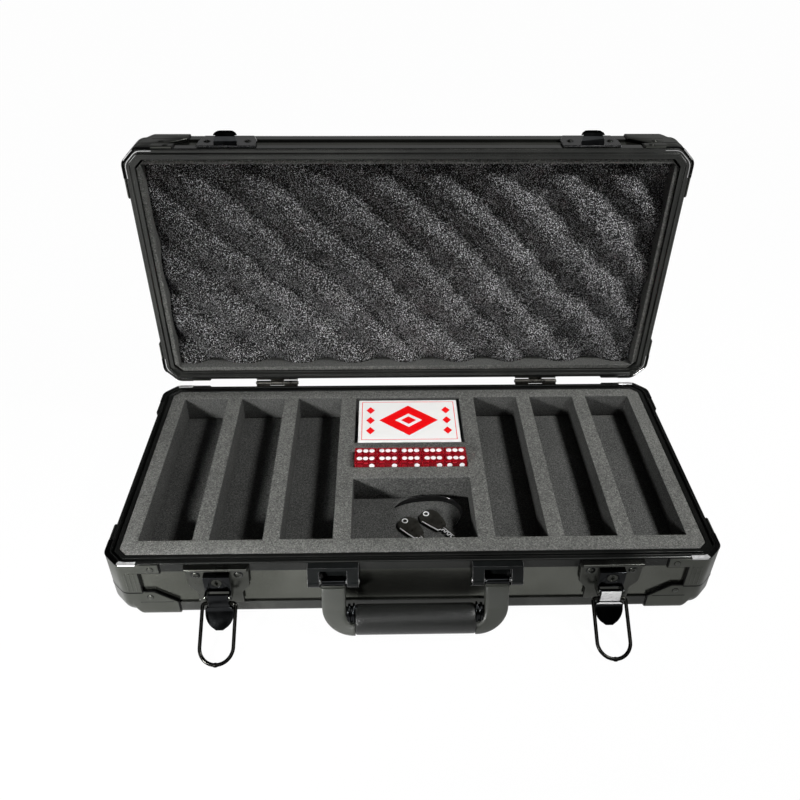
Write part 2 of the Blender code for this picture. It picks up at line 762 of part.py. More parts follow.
def hinge_leaf(centre, spans, height_sign):
    """A leaf on the back wall, with a neck out to each of its knuckles."""
    inner = BACK + CLEARANCE
    outer = inner + HINGE_LEAF_THICKNESS
    neck_near = HINGE_AXIS_Z + height_sign * (HINGE_KNUCKLE_RADIUS - HINGE_LEAF_THICKNESS)
    neck_far = HINGE_AXIS_Z + height_sign * HINGE_KNUCKLE_RADIUS
    leaf_end = HINGE_AXIS_Z + height_sign * HINGE_LEAF_HEIGHT
    plate = block(
        (centre - HINGE_WIDTH / 2, inner, min(neck_near, leaf_end)),
        (centre + HINGE_WIDTH / 2, outer, max(neck_near, leaf_end)),
    )
    tools = []
    for start, end in spans:
        middle = centre + (start + end) / 2
        tools.append(rod((middle, HINGE_AXIS_Y, HINGE_AXIS_Z), HINGE_KNUCKLE_RADIUS, end - start))
        tools.append(
            block(
                (centre + start, inner + CLEARANCE, min(neck_near, neck_far)),
                (centre + end, HINGE_AXIS_Y, max(neck_near, neck_far)),
            )
        )
    return plate, tools


def add_hinge(side, centre):
    """One butt hinge of the lid."""
    edge = HINGE_WIDTH / 2
    gap = CLEARANCE / 2
    outer_spans = [(-edge, -edge + HINGE_THIRD - gap), (edge - HINGE_THIRD + gap, edge)]
    inner_spans = [(-HINGE_THIRD / 2 + gap, HINGE_THIRD / 2 - gap)]
    bore_radius = HINGE_PIN_RADIUS + PIN_PLAY
    axis = (centre, HINGE_AXIS_Y, HINGE_AXIS_Z)
    for kind, spans, sign, placer in (
        ("base", outer_spans, -1, place_base),
        ("lid", inner_spans, 1, place_lid),
    ):
        plate, tools = hinge_leaf(centre, spans, sign)
        leaf = placer("hinge_" + kind + "_leaf_" + side, plate, HINGE_FINISH)
        for tool in tools:
            apply_boolean(leaf, tool, "UNION", placer.origin)
        bore = rod(axis, bore_radius, HINGE_WIDTH + OVERRUN)
        apply_boolean(leaf, bore, "DIFFERENCE", placer.origin)
    pin = rod(axis, HINGE_PIN_RADIUS, HINGE_WIDTH + OVERRUN / 2)
    place_base("hinge_pin_" + side, pin, PIN_FINISH, smooth=True)


add_hinge("left", -HINGE_OFFSET)
add_hinge("right", HINGE_OFFSET)

# Latches: a screwed plate with a lock housing and ears, a draw lever on a pin, and a wire loop
LEVER_PIVOT_Z = BASE_HEIGHT - LEVER_PIVOT_DROP
LOOP_PIVOT_Z = BASE_HEIGHT - LOOP_PIVOT_DROP
EAR_INNER = LEVER_HALF_WIDTH + CLEARANCE
EAR_OUTER = EAR_INNER + LEVER_EAR_THICKNESS
LOOP_REST_SINE = (LOOP_PIVOT_Z - TABLE_Z - LOOP_WIRE_RADIUS - CLEARANCE / 3) / LOOP_LENGTH
LOOP_REST_ANGLE = math.asin(LOOP_REST_SINE)


def latch_plate(centre):
    """The plate's outline, wide at the rim and narrow at its foot."""
    top = BASE_HEIGHT - LATCH_TOP_DROP
    right = [
        (LATCH_FOOT_HALF, BASE_HEIGHT - LATCH_TOP_DROP - LATCH_HEIGHT),
        (LATCH_WAIST_HALF, BASE_HEIGHT - LATCH_WAIST_DROP),
        (LATCH_TOP_HALF, BASE_HEIGHT - LATCH_SHOULDER_DROP),
        (LATCH_TOP_HALF, top),
    ]
    left = [(-x, height) for x, height in reversed(right)]
    outline = [(centre + x, height) for x, height in right + left]
    return outline_on_front(outline, CLEARANCE, LATCH_PLATE_STAND)


def latch_ear_profile():
    """One ear beside the lever's knuckle, rooted in the plate."""
    root = LATCH_PLATE_STAND - LATCH_PLATE_EDGE
    pivot = (LEVER_PIVOT_STAND, LEVER_PIVOT_Z)
    nose = arc(pivot, LEVER_EAR_RADIUS, 90, -90, ROUND_STEPS // 2)
    spread = LEVER_EAR_RADIUS + LATCH_PLATE_EDGE
    return [(root, LEVER_PIVOT_Z + spread)] + nose + [(root, LEVER_PIVOT_Z - spread)]


def add_latch(side, centre):
    """One draw latch with its lock."""
    plate = place_base("latch_plate_" + side, latch_plate(centre), METAL_FINISH)
    add_bevel(plate, LATCH_PLATE_EDGE, 1)
    lock_profile = [
        (CLEARANCE + LATCH_PLATE_EDGE, BASE_HEIGHT - LOCK_TOP_DROP),
        (LOCK_STAND - LOCK_SLOPE, BASE_HEIGHT - LOCK_TOP_DROP),
        (LOCK_STAND, BASE_HEIGHT - LOCK_TOP_DROP - LOCK_SLOPE),
        (LOCK_STAND, BASE_HEIGHT - LOCK_FOOT_DROP),
        (CLEARANCE + LATCH_PLATE_EDGE, BASE_HEIGHT - LOCK_FOOT_DROP),
    ]
    housing = profile_along_x(lock_profile, centre - LOCK_HALF_WIDTH, centre + LOCK_HALF_WIDTH)
    apply_boolean(plate, housing, "UNION")
    for sign in (-1, 1):
        start = centre + sign * EAR_INNER
        end = centre + sign * EAR_OUTER
        ear = profile_along_x(latch_ear_profile(), start, end)
        apply_boolean(plate, ear, "UNION")
    pin_axis = (centre, FRONT - LEVER_PIVOT_STAND, LEVER_PIVOT_Z)
    pin_bore = rod(pin_axis, LEVER_PIN_RADIUS + PIN_PLAY, 2 * EAR_OUTER + OVERRUN)
    apply_boolean(plate, pin_bore)
    lock_z = BASE_HEIGHT - (LOCK_TOP_DROP + LOCK_FOOT_DROP) / 2
    barrel_front = FRONT - LOCK_STAND
    well_centre = barrel_front + (BARREL_DEPTH - OVERRUN) / 2
    well = rod((centre, well_centre, lock_z), BARREL_RADIUS + CLEARANCE, BARREL_DEPTH + OVERRUN, "Y", 20)
    apply_boolean(plate, well)

    pin = rod(pin_axis, LEVER_PIN_RADIUS, 2 * EAR_OUTER)
    place_base("lever_pin_" + side, pin, PIN_FINISH, smooth=True)

    lock_pivot = add_pivot("lock_pivot_" + side, (centre, barrel_front, lock_z))
    depth = BARREL_DEPTH - CLEARANCE
    barrel = rod((0, depth / 2, 0), BARREL_RADIUS, depth, "Y", 20)
    barrel = add_object("lock_barrel_" + side, barrel, METAL_FINISH, lock_pivot, smooth=True)
    for length, width in ((KEYWAY_LENGTH, KEYWAY_WIDTH), (KEYWAY_WIDTH, KEYWAY_LENGTH / 2)):
        slot = block((-width / 2, -OVERRUN, -length / 2), (width / 2, KEYWAY_DEPTH, length / 2))
        apply_boolean(barrel, slot)
    add_lever(side, centre)


def lever_profile():
    """The lever's bent plate in side view, about the lever's pivot: a tail, a back and a lip."""
    loop_stand = LOOP_PIVOT_STAND - LEVER_PIVOT_STAND
    loop_height = LOOP_PIVOT_Z - LEVER_PIVOT_Z
    face = LEVER_KNUCKLE_RADIUS
    lip_start = loop_height - LOOP_KNUCKLE_RADIUS
    lip_face = loop_stand + LOOP_KNUCKLE_RADIUS
    lip_drop = LEVER_LENGTH - LEVER_TAIL_RISE + lip_start
    outer = [
        (face - LEVER_THICKNESS - LEVER_TAIL_RISE / 4, LEVER_TAIL_RISE),
        (face, 0),
        (lip_face, loop_height),
    ]
    for step in range(1, ARC_STEPS + 1):
        share = step / ARC_STEPS
        outer.append((lip_face + LEVER_LIP_LEAN * share**1.6, loop_height - lip_drop * share))
    inner = [(stand - LEVER_THICKNESS, height) for stand, height in reversed(outer)]
    return outer + inner


def lever_outline(fold):
    """The lever's plate in front view: a straight back, then a wider lip with a round end."""
    wide = fold - LEVER_TAIL_RISE
    tip = LEVER_TAIL_RISE - LEVER_LENGTH
    right = [(LEVER_HALF_WIDTH, LEVER_LENGTH), (LEVER_HALF_WIDTH, fold)]
    for step in range(LIP_STEPS + 1):
        turn = math.pi / 2 * step / LIP_STEPS
        right.append((LEVER_LIP_HALF_WIDTH * math.cos(turn), wide + (tip - wide) * math.sin(turn)))
    return right + [(-x, z) for x, z in reversed(right[:-1])]


def add_lever(side, centre):
    """A draw lever that hangs from its pin, and the wire loop that hangs from the lever."""
    pivot_place = (centre, FRONT - LEVER_PIVOT_STAND, LEVER_PIVOT_Z)
    pivot = add_pivot("lever_pivot_" + side, pivot_place)
    points = [(-LEVER_LIP_HALF_WIDTH, -stand, height) for stand, height in lever_profile()]
    plate = extrude_outline(points, (2 * LEVER_LIP_HALF_WIDTH, 0, 0))
    lever = add_object("draw_lever_" + side, plate, METAL_FINISH, pivot)
    loop_y = LEVER_PIVOT_STAND - LOOP_PIVOT_STAND
    loop_z = LOOP_PIVOT_Z - LEVER_PIVOT_Z
    outline = lever_outline(loop_z - LOOP_KNUCKLE_RADIUS)
    depth = LEVER_LENGTH
    trim = extrude_outline([(x, -depth, z) for x, z in outline], (0, 2 * depth, 0))
    apply_boolean(lever, trim, "INTERSECT")
    knuckle = rod((0, 0, 0), LEVER_KNUCKLE_RADIUS, 2 * LEVER_HALF_WIDTH)
    apply_boolean(lever, knuckle, "UNION")
    loop_knuckle = rod((0, loop_y, loop_z), LOOP_KNUCKLE_RADIUS, 2 * LEVER_HALF_WIDTH - CLEARANCE)
    apply_boolean(lever, loop_knuckle, "UNION")
    pin_bore = rod((0, 0, 0), LEVER_PIN_RADIUS + PIN_PLAY, 2 * LEVER_HALF_WIDTH + OVERRUN)
    apply_boolean(lever, pin_bore)
    loop_bore = rod((0, loop_y, loop_z), LOOP_WIRE_RADIUS + PIN_PLAY, 2 * LEVER_HALF_WIDTH + OVERRUN)
    apply_boolean(lever, loop_bore)

    loop_place = (0, loop_y, loop_z)
    loop_pivot = add_pivot("loop_pivot_" + side, loop_place, (LOOP_REST_ANGLE, 0, 0))
    loop_pivot.parent = pivot
    wire = wire_mesh("wire_loop_" + side, loop_route())
    add_object("wire_loop_" + side, wire, METAL_FINISH, loop_pivot, smooth=True)


def loop_route():
    """The wire's centre line, from one end in the lever round the loop to the other end."""
    leg = LOOP_HALF_WIDTH
    straight = LOOP_LENGTH - leg
    bend_centre = (leg - LOOP_BEND_RADIUS, LOOP_BEND_RADIUS)
    half = [(leg - LOOP_END_LENGTH, 0)]
    half += arc(bend_centre, LOOP_BEND_RADIUS, -90, 0, 3)
    half += arc((0, straight), leg, 0, 90, 8)
    mirrored = [(-x, reach) for x, reach in reversed(half[:-1])]
    return [(x, -reach, 0) for x, reach in half + mirrored]


def wire_mesh(name, route):
    """A round wire along a list of points, made from a curve and given back as a bmesh."""
    curve = bpy.data.curves.new(name + "_path", "CURVE")
    curve.dimensions = "3D"
    curve.bevel_depth = LOOP_WIRE_RADIUS
    curve.bevel_resolution = 2
    curve.use_fill_caps = True
    spline = curve.splines.new("POLY")
    spline.points.add(len(route) - 1)
    for point, place in zip(spline.points, route):
        point.co = (*place, 1)
    holder = bpy.data.objects.new(name + "_path", curve)
    CUTTERS.objects.link(holder)
    evaluated = holder.evaluated_get(bpy.context.evaluated_depsgraph_get())
    mesh = bpy.data.meshes.new_from_object(evaluated)
    bm = bmesh.new()
    bm.from_mesh(mesh)
    bmesh.ops.remove_doubles(bm, verts=bm.verts, dist=LOOP_WIRE_RADIUS / 100)
    face_outward(bm)
    bpy.data.objects.remove(holder)
    bpy.data.meshes.remove(mesh)
    return bm


add_latch("left", -LATCH_OFFSET)
add_latch("right", LATCH_OFFSET)

# Catches: a plate on the lid with a rounded hook that the loop's end passes over
LOOP_CLOSED_RISE = math.sqrt(LOOP_LENGTH**2 - (LOOP_PIVOT_STAND - HOOK_SEAT_STAND) ** 2)
HOOK_SEAT_Z = LOOP_PIVOT_Z + LOOP_CLOSED_RISE


def hook_profile():
    """The hook in side view: a ramp, a crest, a lip and a seat under the wire."""
    foot = CATCH_THICKNESS
    low = LID_RIM + CATCH_START + CLEARANCE
    seat = HOOK_SEAT_Z - LOOP_WIRE_RADIUS - CLEARANCE - CLEARANCE / 2
    crest = HOOK_SEAT_Z - CLEARANCE
    rise = crest - low
    lip = HOOK_SEAT_STAND + LOOP_WIRE_RADIUS + CLEARANCE
    ramp_shares = [(0.02, 0.0), (0.35, 0.16), (0.66, 0.34), (0.88, 0.56), (0.99, 0.80), (0.98, 0.94)]
    reach = HOOK_STAND - foot
    ramp = [(foot + reach * out, low + rise * up) for out, up in ramp_shares]
    curl = [(lip + LOOP_WIRE_RADIUS, crest), (lip + CLEARANCE, seat + LOOP_WIRE_RADIUS / 2)]
    valley = [(lip - LOOP_WIRE_RADIUS / 2, seat), (HOOK_SEAT_STAND - LOOP_WIRE_RADIUS, seat)]
    return ramp + curl + valley + [(CLEARANCE + foot / 2, seat)] + [(CLEARANCE + foot / 2, low)]


def add_catch(side, centre):
    """One catch on the lid's front wall."""
    low = LID_RIM + CATCH_START
    high = low + CATCH_HEIGHT
    right = [(CATCH_HALF_WIDTH, low), (CATCH_HALF_WIDTH, low + CATCH_HEIGHT / 2), (CATCH_FOOT_HALF_WIDTH, high)]
    left = [(-x, height) for x, height in reversed(right)]
    outline = [(centre + x, height) for x, height in right + left]
    plate = outline_on_front(outline, CLEARANCE, CLEARANCE + CATCH_THICKNESS)
    catch = place_lid("lid_catch_" + side, plate, METAL_FINISH)
    add_bevel(catch, CATCH_THICKNESS / 3, 1)
    bow_centre = HOOK_SEAT_Z - LOOP_HALF_WIDTH
    bow = LOOP_HALF_WIDTH - LOOP_WIRE_RADIUS - CLEARANCE - CLEARANCE / 2
    crest_bow = LOOP_HALF_WIDTH - CLEARANCE
    hook = profile_along_x(hook_profile(), centre - HOOK_HALF_WIDTH, centre + HOOK_HALF_WIDTH)
    dome = bow_outline(centre, bow_centre, bow, LID_RIM + CATCH_START)
    lip = bow_outline(centre, bow_centre, crest_bow, LID_RIM + CATCH_START)
    seat_end = HOOK_SEAT_STAND + LOOP_WIRE_RADIUS + CLEARANCE
    inner_dome = outline_on_front(dome, CLEARANCE, seat_end)
    outer_dome = outline_on_front(lip, seat_end - CLEARANCE / 2, HOOK_STAND + OVERRUN)
    hook_piece = add_object("hook_blank_" + side, hook, METAL_FINISH, lid_pivot, place_lid.origin)
    dome_piece = add_object("hook_dome_" + side, inner_dome, METAL_FINISH, lid_pivot, place_lid.origin)
    apply_boolean(dome_piece, outer_dome, "UNION", place_lid.origin)
    link_boolean(hook_piece, dome_piece, "INTERSECT")
    link_boolean(catch, hook_piece, "UNION")


def bow_outline(centre, bow_z, radius, low):
    """A half round outline, open side down, for the hook under the loop's round end."""
    start = math.degrees(math.asin((low - bow_z) / radius)) if low > bow_z else 0
    curve = arc((centre, bow_z), radius, start, 180 - start, 10)
    if low > bow_z:
        return curve
    return curve + [(centre - radius, low), (centre + radius, low)]


def link_boolean(piece, tool, operation):
    """Join or trim a piece with another object, which then counts as a tool."""
    PARTS.objects.unlink(tool)
    CUTTERS.objects.link(tool)
    tool.hide_render = True
    tool.display_type = "WIRE"
    modifier = piece.modifiers.new(operation.lower(), "BOOLEAN")
    modifier.operation = operation
    modifier.object = tool
    modifier.solver = "EXACT"


add_catch("left", -LATCH_OFFSET)
add_catch("right", LATCH_OFFSET)

# Handle: two brackets with pins, a moulded frame on them and a padded grip
HANDLE_PIVOT_Z = BASE_HEIGHT - HANDLE_PIVOT_DROP


def bracket_profile():
    """The bracket in side view: a shelf under the rim, a swelling lug round the pin, a foot."""
    top = BASE_HEIGHT - BRACKET_DROP
    foot = top - BRACKET_HEIGHT
    pivot = (HANDLE_PIVOT_STAND, HANDLE_PIVOT_Z)
    lug = arc(pivot, BRACKET_LUG_RADIUS, 40, -50, 6)
    return (
        [(CLEARANCE, foot), (CLEARANCE, top), (BRACKET_SHELF_STAND, top)]
        + lug
        + [(BRACKET_PLATE_STAND + CLEARANCE, foot)]
    )


def add_bracket(side, centre):
    """One handle bracket and its pin."""
    profile = bracket_profile()
    half = BRACKET_WIDTH / 2
    body = profile_along_x(profile, centre - half, centre + half)
    bracket = place_base("handle_bracket_" + side, body, METAL_FINISH)
    notch_half = BRACKET_NOTCH_WIDTH / 2
    notch = block(
        (centre - notch_half, FRONT - HANDLE_PIVOT_STAND - BRACKET_LUG_RADIUS - OVERRUN, -OVERRUN),
        (centre + notch_half, FRONT - BRACKET_PLATE_STAND, BASE_HEIGHT - BRACKET_NOTCH_DROP),
    )
    apply_boolean(bracket, notch)
    axis = (centre, FRONT - HANDLE_PIVOT_STAND, HANDLE_PIVOT_Z)
    bore = rod(axis, HANDLE_PIN_RADIUS + PIN_PLAY, BRACKET_WIDTH + OVERRUN)
    apply_boolean(bracket, bore)
    pin = rod(axis, HANDLE_PIN_RADIUS, BRACKET_WIDTH)
    place_base("handle_pin_" + side, pin, PIN_FINISH, smooth=True)


add_bracket("left", -HANDLE_ARM_OFFSET)
add_bracket("right", HANDLE_ARM_OFFSET)

handle_place = (0, FRONT - HANDLE_PIVOT_STAND, HANDLE_PIVOT_Z)
handle_pivot = add_pivot("handle_pivot", handle_place, (-HANDLE_LEAN, 0, 0))
ARM_OUTER = HANDLE_ARM_OFFSET + HANDLE_ARM_WIDTH / 2
ARM_INNER = HANDLE_ARM_OFFSET - HANDLE_ARM_WIDTH / 2
ELBOW_FOOT = -HANDLE_DROP - GRIP_RADIUS + HANDLE_ELBOW_FOOT
GRIP_HALF = ARM_INNER - GRIP_COLLAR
GRIP_LENGTH = 2 * (GRIP_HALF - CLEARANCE)


def arm_section(inner, outer, half_thickness, squareness, sign):
    """A rounded oblong between an inner and an outer point of the handle's front view."""
    points = []
    for step in range(SECTION_POINTS):
        turn = 2 * math.pi * (step + 0.5) / SECTION_POINTS
        along = math.copysign(abs(math.cos(turn)) ** squareness, math.cos(turn))
        across = math.copysign(abs(math.sin(turn)) ** squareness, math.sin(turn))
        x = (inner[0] + outer[0]) / 2 + (outer[0] - inner[0]) / 2 * along
        z = (inner[1] + outer[1]) / 2 + (outer[1] - inner[1]) / 2 * along
        points.append((sign * x, half_thickness * across, z))
    return points


def arm_loft(sign):
    """One arm: a flat strap from below the knuckle down, which turns and swells to the grip."""
    half = HANDLE_ARM_THICKNESS / 2
    swell = HANDLE_ELBOW_THICKNESS / 2 - half
    centre = (ARM_OUTER - HANDLE_ELBOW_RADIUS, ELBOW_FOOT + HANDLE_ELBOW_RADIUS)
    rows = []
    for height in (-HANDLE_KNUCKLE_RADIUS - CLEARANCE, centre[1]):
        ends = ((ARM_INNER, height), (ARM_OUTER, height))
        rows.append(arm_section(*ends, half, ARM_SQUARENESS_SHARE, sign))
    for step in range(1, ELBOW_STEPS + 1):
        share = step / ELBOW_STEPS
        turn = math.pi / 2 * share
        inside = (ARM_INNER - centre[0]) * (1 - share)
        inner = (centre[0] + inside * math.cos(turn), centre[1] - inside * math.sin(turn))
        outer = (
            centre[0] + HANDLE_ELBOW_RADIUS * math.cos(turn),
            centre[1] - HANDLE_ELBOW_RADIUS * math.sin(turn),
        )
        squareness = ARM_SQUARENESS_SHARE + (ELBOW_SQUARENESS_SHARE - ARM_SQUARENESS_SHARE) * share
        rows.append(arm_section(inner, outer, half + swell * share, squareness, sign))
    ends = ((GRIP_HALF, centre[1]), (GRIP_HALF, ELBOW_FOOT))
    rows.append(arm_section(*ends, half + swell, ELBOW_SQUARENESS_SHARE, sign))
    return loft(rows, closed=False)


def add_handle():
    """The moulded handle frame with its knuckles and core, and the grip over the core."""
    half = HANDLE_ARM_THICKNESS / 2
    core = rod((0, 0, -HANDLE_DROP), HANDLE_CORE_RADIUS, 2 * GRIP_HALF + OVERRUN, "X", 12)
    handle = add_object("handle_frame", core, ARM_FINISH, handle_pivot)
    for sign in (-1, 1):
        apply_boolean(handle, arm_loft(sign), "UNION")
        knuckle_place = (sign * HANDLE_ARM_OFFSET, 0, 0)
        neck = block(
            (sign * HANDLE_ARM_OFFSET - HANDLE_ARM_WIDTH / 2, -HANDLE_PIN_RADIUS, -2 * half),
            (sign * HANDLE_ARM_OFFSET + HANDLE_ARM_WIDTH / 2, HANDLE_PIN_RADIUS, 0),
        )
        apply_boolean(handle, neck, "UNION")
        apply_boolean(handle, rod(knuckle_place, HANDLE_KNUCKLE_RADIUS, HANDLE_ARM_WIDTH), "UNION")
        bore = rod(knuckle_place, HANDLE_PIN_RADIUS + PIN_PLAY, HANDLE_ARM_WIDTH + OVERRUN)
        apply_boolean(handle, bore)

    radius = GRIP_RADIUS
    grip = rod((0, 0, -HANDLE_DROP), radius, GRIP_LENGTH, "X", GRIP_STEPS)
    grip = add_object("handle_grip", grip, GRIP_FINISH, handle_pivot, smooth=True)
    hole = rod((0, 0, -HANDLE_DROP), HANDLE_CORE_RADIUS + CLEARANCE, GRIP_LENGTH + OVERRUN, "X", 12)
    apply_boolean(grip, hole)


add_handle()

# Loose contents, each free to be lifted straight out
die_pitch = DIE_SIZE + CLEARANCE
die_y = (dice_start + dice_end) / 2
for number in range(DIE_COUNT):
    die_x = (number - (DIE_COUNT - 1) / 2) * die_pitch
    low = (die_x - DIE_SIZE / 2, die_y - DIE_SIZE / 2, dice_floor)
    high = (die_x + DIE_SIZE / 2, die_y + DIE_SIZE / 2, dice_floor + DIE_SIZE)
    die = add_object("die_" + str(number + 1), block(low, high), DIE_FINISH, None, (die_x, die_y, dice_floor))
    add_bevel(die, DIE_ROUNDING, 2)

card_y = card_start + CARD_BOX_GAP
card_low = (-CARD_BOX_LENGTH / 2, card_y, card_floor)
card_high = (CARD_BOX_LENGTH / 2, card_y + CARD_BOX_WIDTH, card_floor + CARD_BOX_HEIGHT)
card_box = add_object("card_box", block(card_low, card_high), CARD_FINISH, None, (0, card_y, card_floor))
add_bevel(card_box, CARD_BOX_ROUNDING, 2)

key_floor = TRAY_FLOOR_Z + CLEARANCE
KEY_TURNS = {"key_right": math.radians(-51), "key_left": math.radians(-56)}


def key_outline():
    """A flat key about its hole: a round head with flattened sides and a blade with bits."""
    centre = KEY_HOLE_SETBACK
    side_angle = math.degrees(math.asin(KEY_HEAD_SIDE / KEY_HEAD_RADIUS))
    head = arc((centre, 0), KEY_HEAD_RADIUS, 180 + side_angle, 180 - side_angle, 8)
    shoulder = centre + KEY_HEAD_RADIUS * math.cos(math.radians(side_angle))
    blade = centre + KEY_HEAD_RADIUS
    tip = blade + KEY_BLADE_LENGTH
    half = KEY_BLADE_WIDTH / 2
    outline = head + [(shoulder, KEY_HEAD_SIDE), (blade, half)]
    outline += [(tip - half, half), (tip, 0), (tip - half, -half)]
    pitch = (KEY_BLADE_LENGTH - KEY_BLADE_WIDTH) / KEY_BITS
    for bit in range(KEY_BITS):
        crest = tip - half - pitch * (bit + 1 / 3)
        outline += [(crest, -half + KEY_BIT_DEPTH), (crest - pitch / 3, -half + KEY_BIT_DEPTH)]
        outline += [(crest - pitch * 2 / 3, -half)]
    return outline + [(shoulder, -KEY_HEAD_SIDE)]


for key_name, (hole_x, hole_y) in KEY_HOLES.items():
    turn = Matrix.Rotation(KEY_TURNS[key_name], 3, "Z")
    blank = extrude_outline([(u, v, 0) for u, v in key_outline()], (0, 0, KEY_THICKNESS))
    bmesh.ops.rotate(blank, verts=blank.verts, matrix=turn)
    seat = add_pivot(key_name + "_seat", (hole_x, key_pocket_end + hole_y, key_floor))
    key = add_object(key_name, blank, KEY_FINISH, seat)
    eye = rod((0, 0, KEY_THICKNESS / 2), KEY_HOLE_RADIUS, KEY_THICKNESS + OVERRUN, "Z", 12)
    apply_boolean(key, eye)

def add_strap():
    """A thin plastic strap that stands on its edge in the key pocket, bent round the keys."""
    bm = bmesh.new()
    lower = [bm.verts.new((x, y, 0)) for x, y in STRAP_ROUTE]
    upper = [bm.verts.new((x, y, STRAP_HEIGHT)) for x, y in STRAP_ROUTE]
    for index in range(len(STRAP_ROUTE) - 1):
        bm.faces.new((lower[index], lower[index + 1], upper[index + 1], upper[index]))
    seat = add_pivot("key_strap_seat", (0, key_pocket_end, key_floor))
    strap = add_object("key_strap", bm, STRAP_FINISH, seat, smooth=True)
    solid = strap.modifiers.new("wall", "SOLIDIFY")
    solid.thickness = STRAP_THICKNESS
    solid.offset = 0


add_strap()
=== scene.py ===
"""The look of an open poker chip case: finishes, foam, fittings and what lies in the tray."""
import math

import bmesh
import bpy
from mathutils import Matrix, Vector


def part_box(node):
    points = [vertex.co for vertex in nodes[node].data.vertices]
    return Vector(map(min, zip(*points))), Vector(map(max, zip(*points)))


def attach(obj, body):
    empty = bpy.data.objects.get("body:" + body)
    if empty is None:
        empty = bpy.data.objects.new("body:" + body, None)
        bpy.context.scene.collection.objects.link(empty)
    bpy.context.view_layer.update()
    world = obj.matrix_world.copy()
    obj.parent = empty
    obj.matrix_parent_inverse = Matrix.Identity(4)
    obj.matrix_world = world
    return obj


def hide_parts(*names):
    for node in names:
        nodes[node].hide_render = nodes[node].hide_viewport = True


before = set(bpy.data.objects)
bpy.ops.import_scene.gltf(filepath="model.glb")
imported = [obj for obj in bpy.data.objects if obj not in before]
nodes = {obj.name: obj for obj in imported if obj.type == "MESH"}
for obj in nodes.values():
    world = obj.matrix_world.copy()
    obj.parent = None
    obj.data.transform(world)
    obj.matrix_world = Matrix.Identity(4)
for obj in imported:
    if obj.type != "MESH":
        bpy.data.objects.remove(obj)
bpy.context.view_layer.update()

# The photograph's camera, which looks down on the case from a little left of its middle.


def linked(name, data):
    """A new object in the scene."""
    piece = bpy.data.objects.new(name, data)
    bpy.context.scene.collection.objects.link(piece)
    return piece


SENSOR_WIDTH = 36.0
FOCAL_PIXELS, PICTURE_PIXELS = 783.0, 800.0
camera_data = bpy.data.cameras.new("case_camera")
camera_data.lens = SENSOR_WIDTH * FOCAL_PIXELS / PICTURE_PIXELS
camera_data.sensor_width = SENSOR_WIDTH
camera_data.clip_start = 0.01
camera = linked("case_camera", camera_data)
pitch, yaw, roll = math.radians(36.66), math.radians(1.51), math.radians(0.46)
ahead = Vector((math.sin(yaw) * math.cos(pitch), math.cos(yaw) * math.cos(pitch), -math.sin(pitch)))
level_right = ahead.cross(Vector((0, 0, 1))).normalized()
level_up = level_right.cross(ahead)
camera_right = level_right * math.cos(roll) + level_up * math.sin(roll)
camera_up = level_up * math.cos(roll) - level_right * math.sin(roll)
turn = Matrix((camera_right, camera_up, -ahead)).transposed()
camera.matrix_world = Matrix.Translation((-0.022986, -0.509514, 0.501823)) @ turn.to_4x4()
bpy.context.scene.camera = camera
bpy.context.scene.view_settings.view_transform = "Standard"

# The table and the room: a white sheet that keeps a trace of shadow, and a white surround that
# is dark to the light's own rays. In mirrors the sheet glows white, dimmed towards its right as
# painted shade.
table_mesh = bpy.data.meshes.new("table_sheet")
sheet = bmesh.new()
bmesh.ops.create_grid(sheet, x_segments=2, y_segments=2, size=6.0)
sheet.to_mesh(table_mesh)
sheet.free()
table_sheet = linked("table_sheet", table_mesh)
table_sheet.location.z = -0.0016


def add(tree, kind, feeds=None, **settings):
    """A node with its settings, whose inputs are fed with values, a socket or a list of sockets."""
    node = tree.nodes.new(kind)
    for setting, value in settings.items():
        setattr(node, setting, value)
    for name, value in (feeds or {}).items():
        sources = value if isinstance(value, list) else [value]
        for source in sources:
            if isinstance(source, bpy.types.NodeSocket):
                tree.links.new(source, node.inputs[name])
            else:
                node.inputs[name].default_value = source
    return node


def number(tree, operation, *terms):
    """One sum on fields or numbers."""
    return add(tree, "ShaderNodeMath", dict(enumerate(terms)), operation=operation).outputs[0]


def between(tree, value, low, high, from_low=0.0, from_high=1.0):
    """A factor stretched to a range of numbers."""
    feeds = {"Value": value, "From Min": from_low, "From Max": from_high, "To Min": low, "To Max": high}
    return add(tree, "ShaderNodeMapRange", feeds).outputs["Result"]


def white_when_seen(tree, rays, dull, glow, share, mirrors=0.0):
    """A dull shader mixed with a white one that camera, glass and mirror rays meet."""
    seen = number(tree, "MAXIMUM", rays.outputs["Is Camera Ray"], rays.outputs["Is Transmission Ray"])
    part = number(tree, "MULTIPLY", number(tree, "MAXIMUM", seen, mirrors), share)
    feeds = {0: part, 1: dull.outputs[0], 2: glow.outputs[0]}
    return add(tree, "ShaderNodeMixShader", feeds).outputs[0]


def bare_tree(owner):
    """The empty node tree of a material or a world, with its light path."""
    owner.use_nodes = True
    owner.node_tree.nodes.clear()
    return owner.node_tree, add(owner.node_tree, "ShaderNodeLightPath")


table_white = bpy.data.materials.new("table_white")
tree, rays = bare_tree(table_white)
in_mirror = rays.outputs["Is Glossy Ray"]
on_table = add(tree, "ShaderNodeSeparateXYZ", {0: add(tree, "ShaderNodeTexCoord").outputs["Object"]})
# Painted shade: the sheet's glow in mirrors is dimmed towards its right.
painted_mirror_shade = between(tree, on_table.outputs["X"], 0.0, 0.45, -0.06, 0.17)
strength = number(tree, "SUBTRACT", 1.0, number(tree, "MULTIPLY", in_mirror, painted_mirror_shade))
paper = add(tree, "ShaderNodeBsdfDiffuse", {"Color": (0.88, 0.88, 0.88, 1)})
glow = add(tree, "ShaderNodeEmission", {"Strength": strength})
table_look = white_when_seen(tree, rays, paper, glow, 0.985, in_mirror)
add(tree, "ShaderNodeOutputMaterial", {"Surface": table_look})
table_mesh.materials.append(table_white)

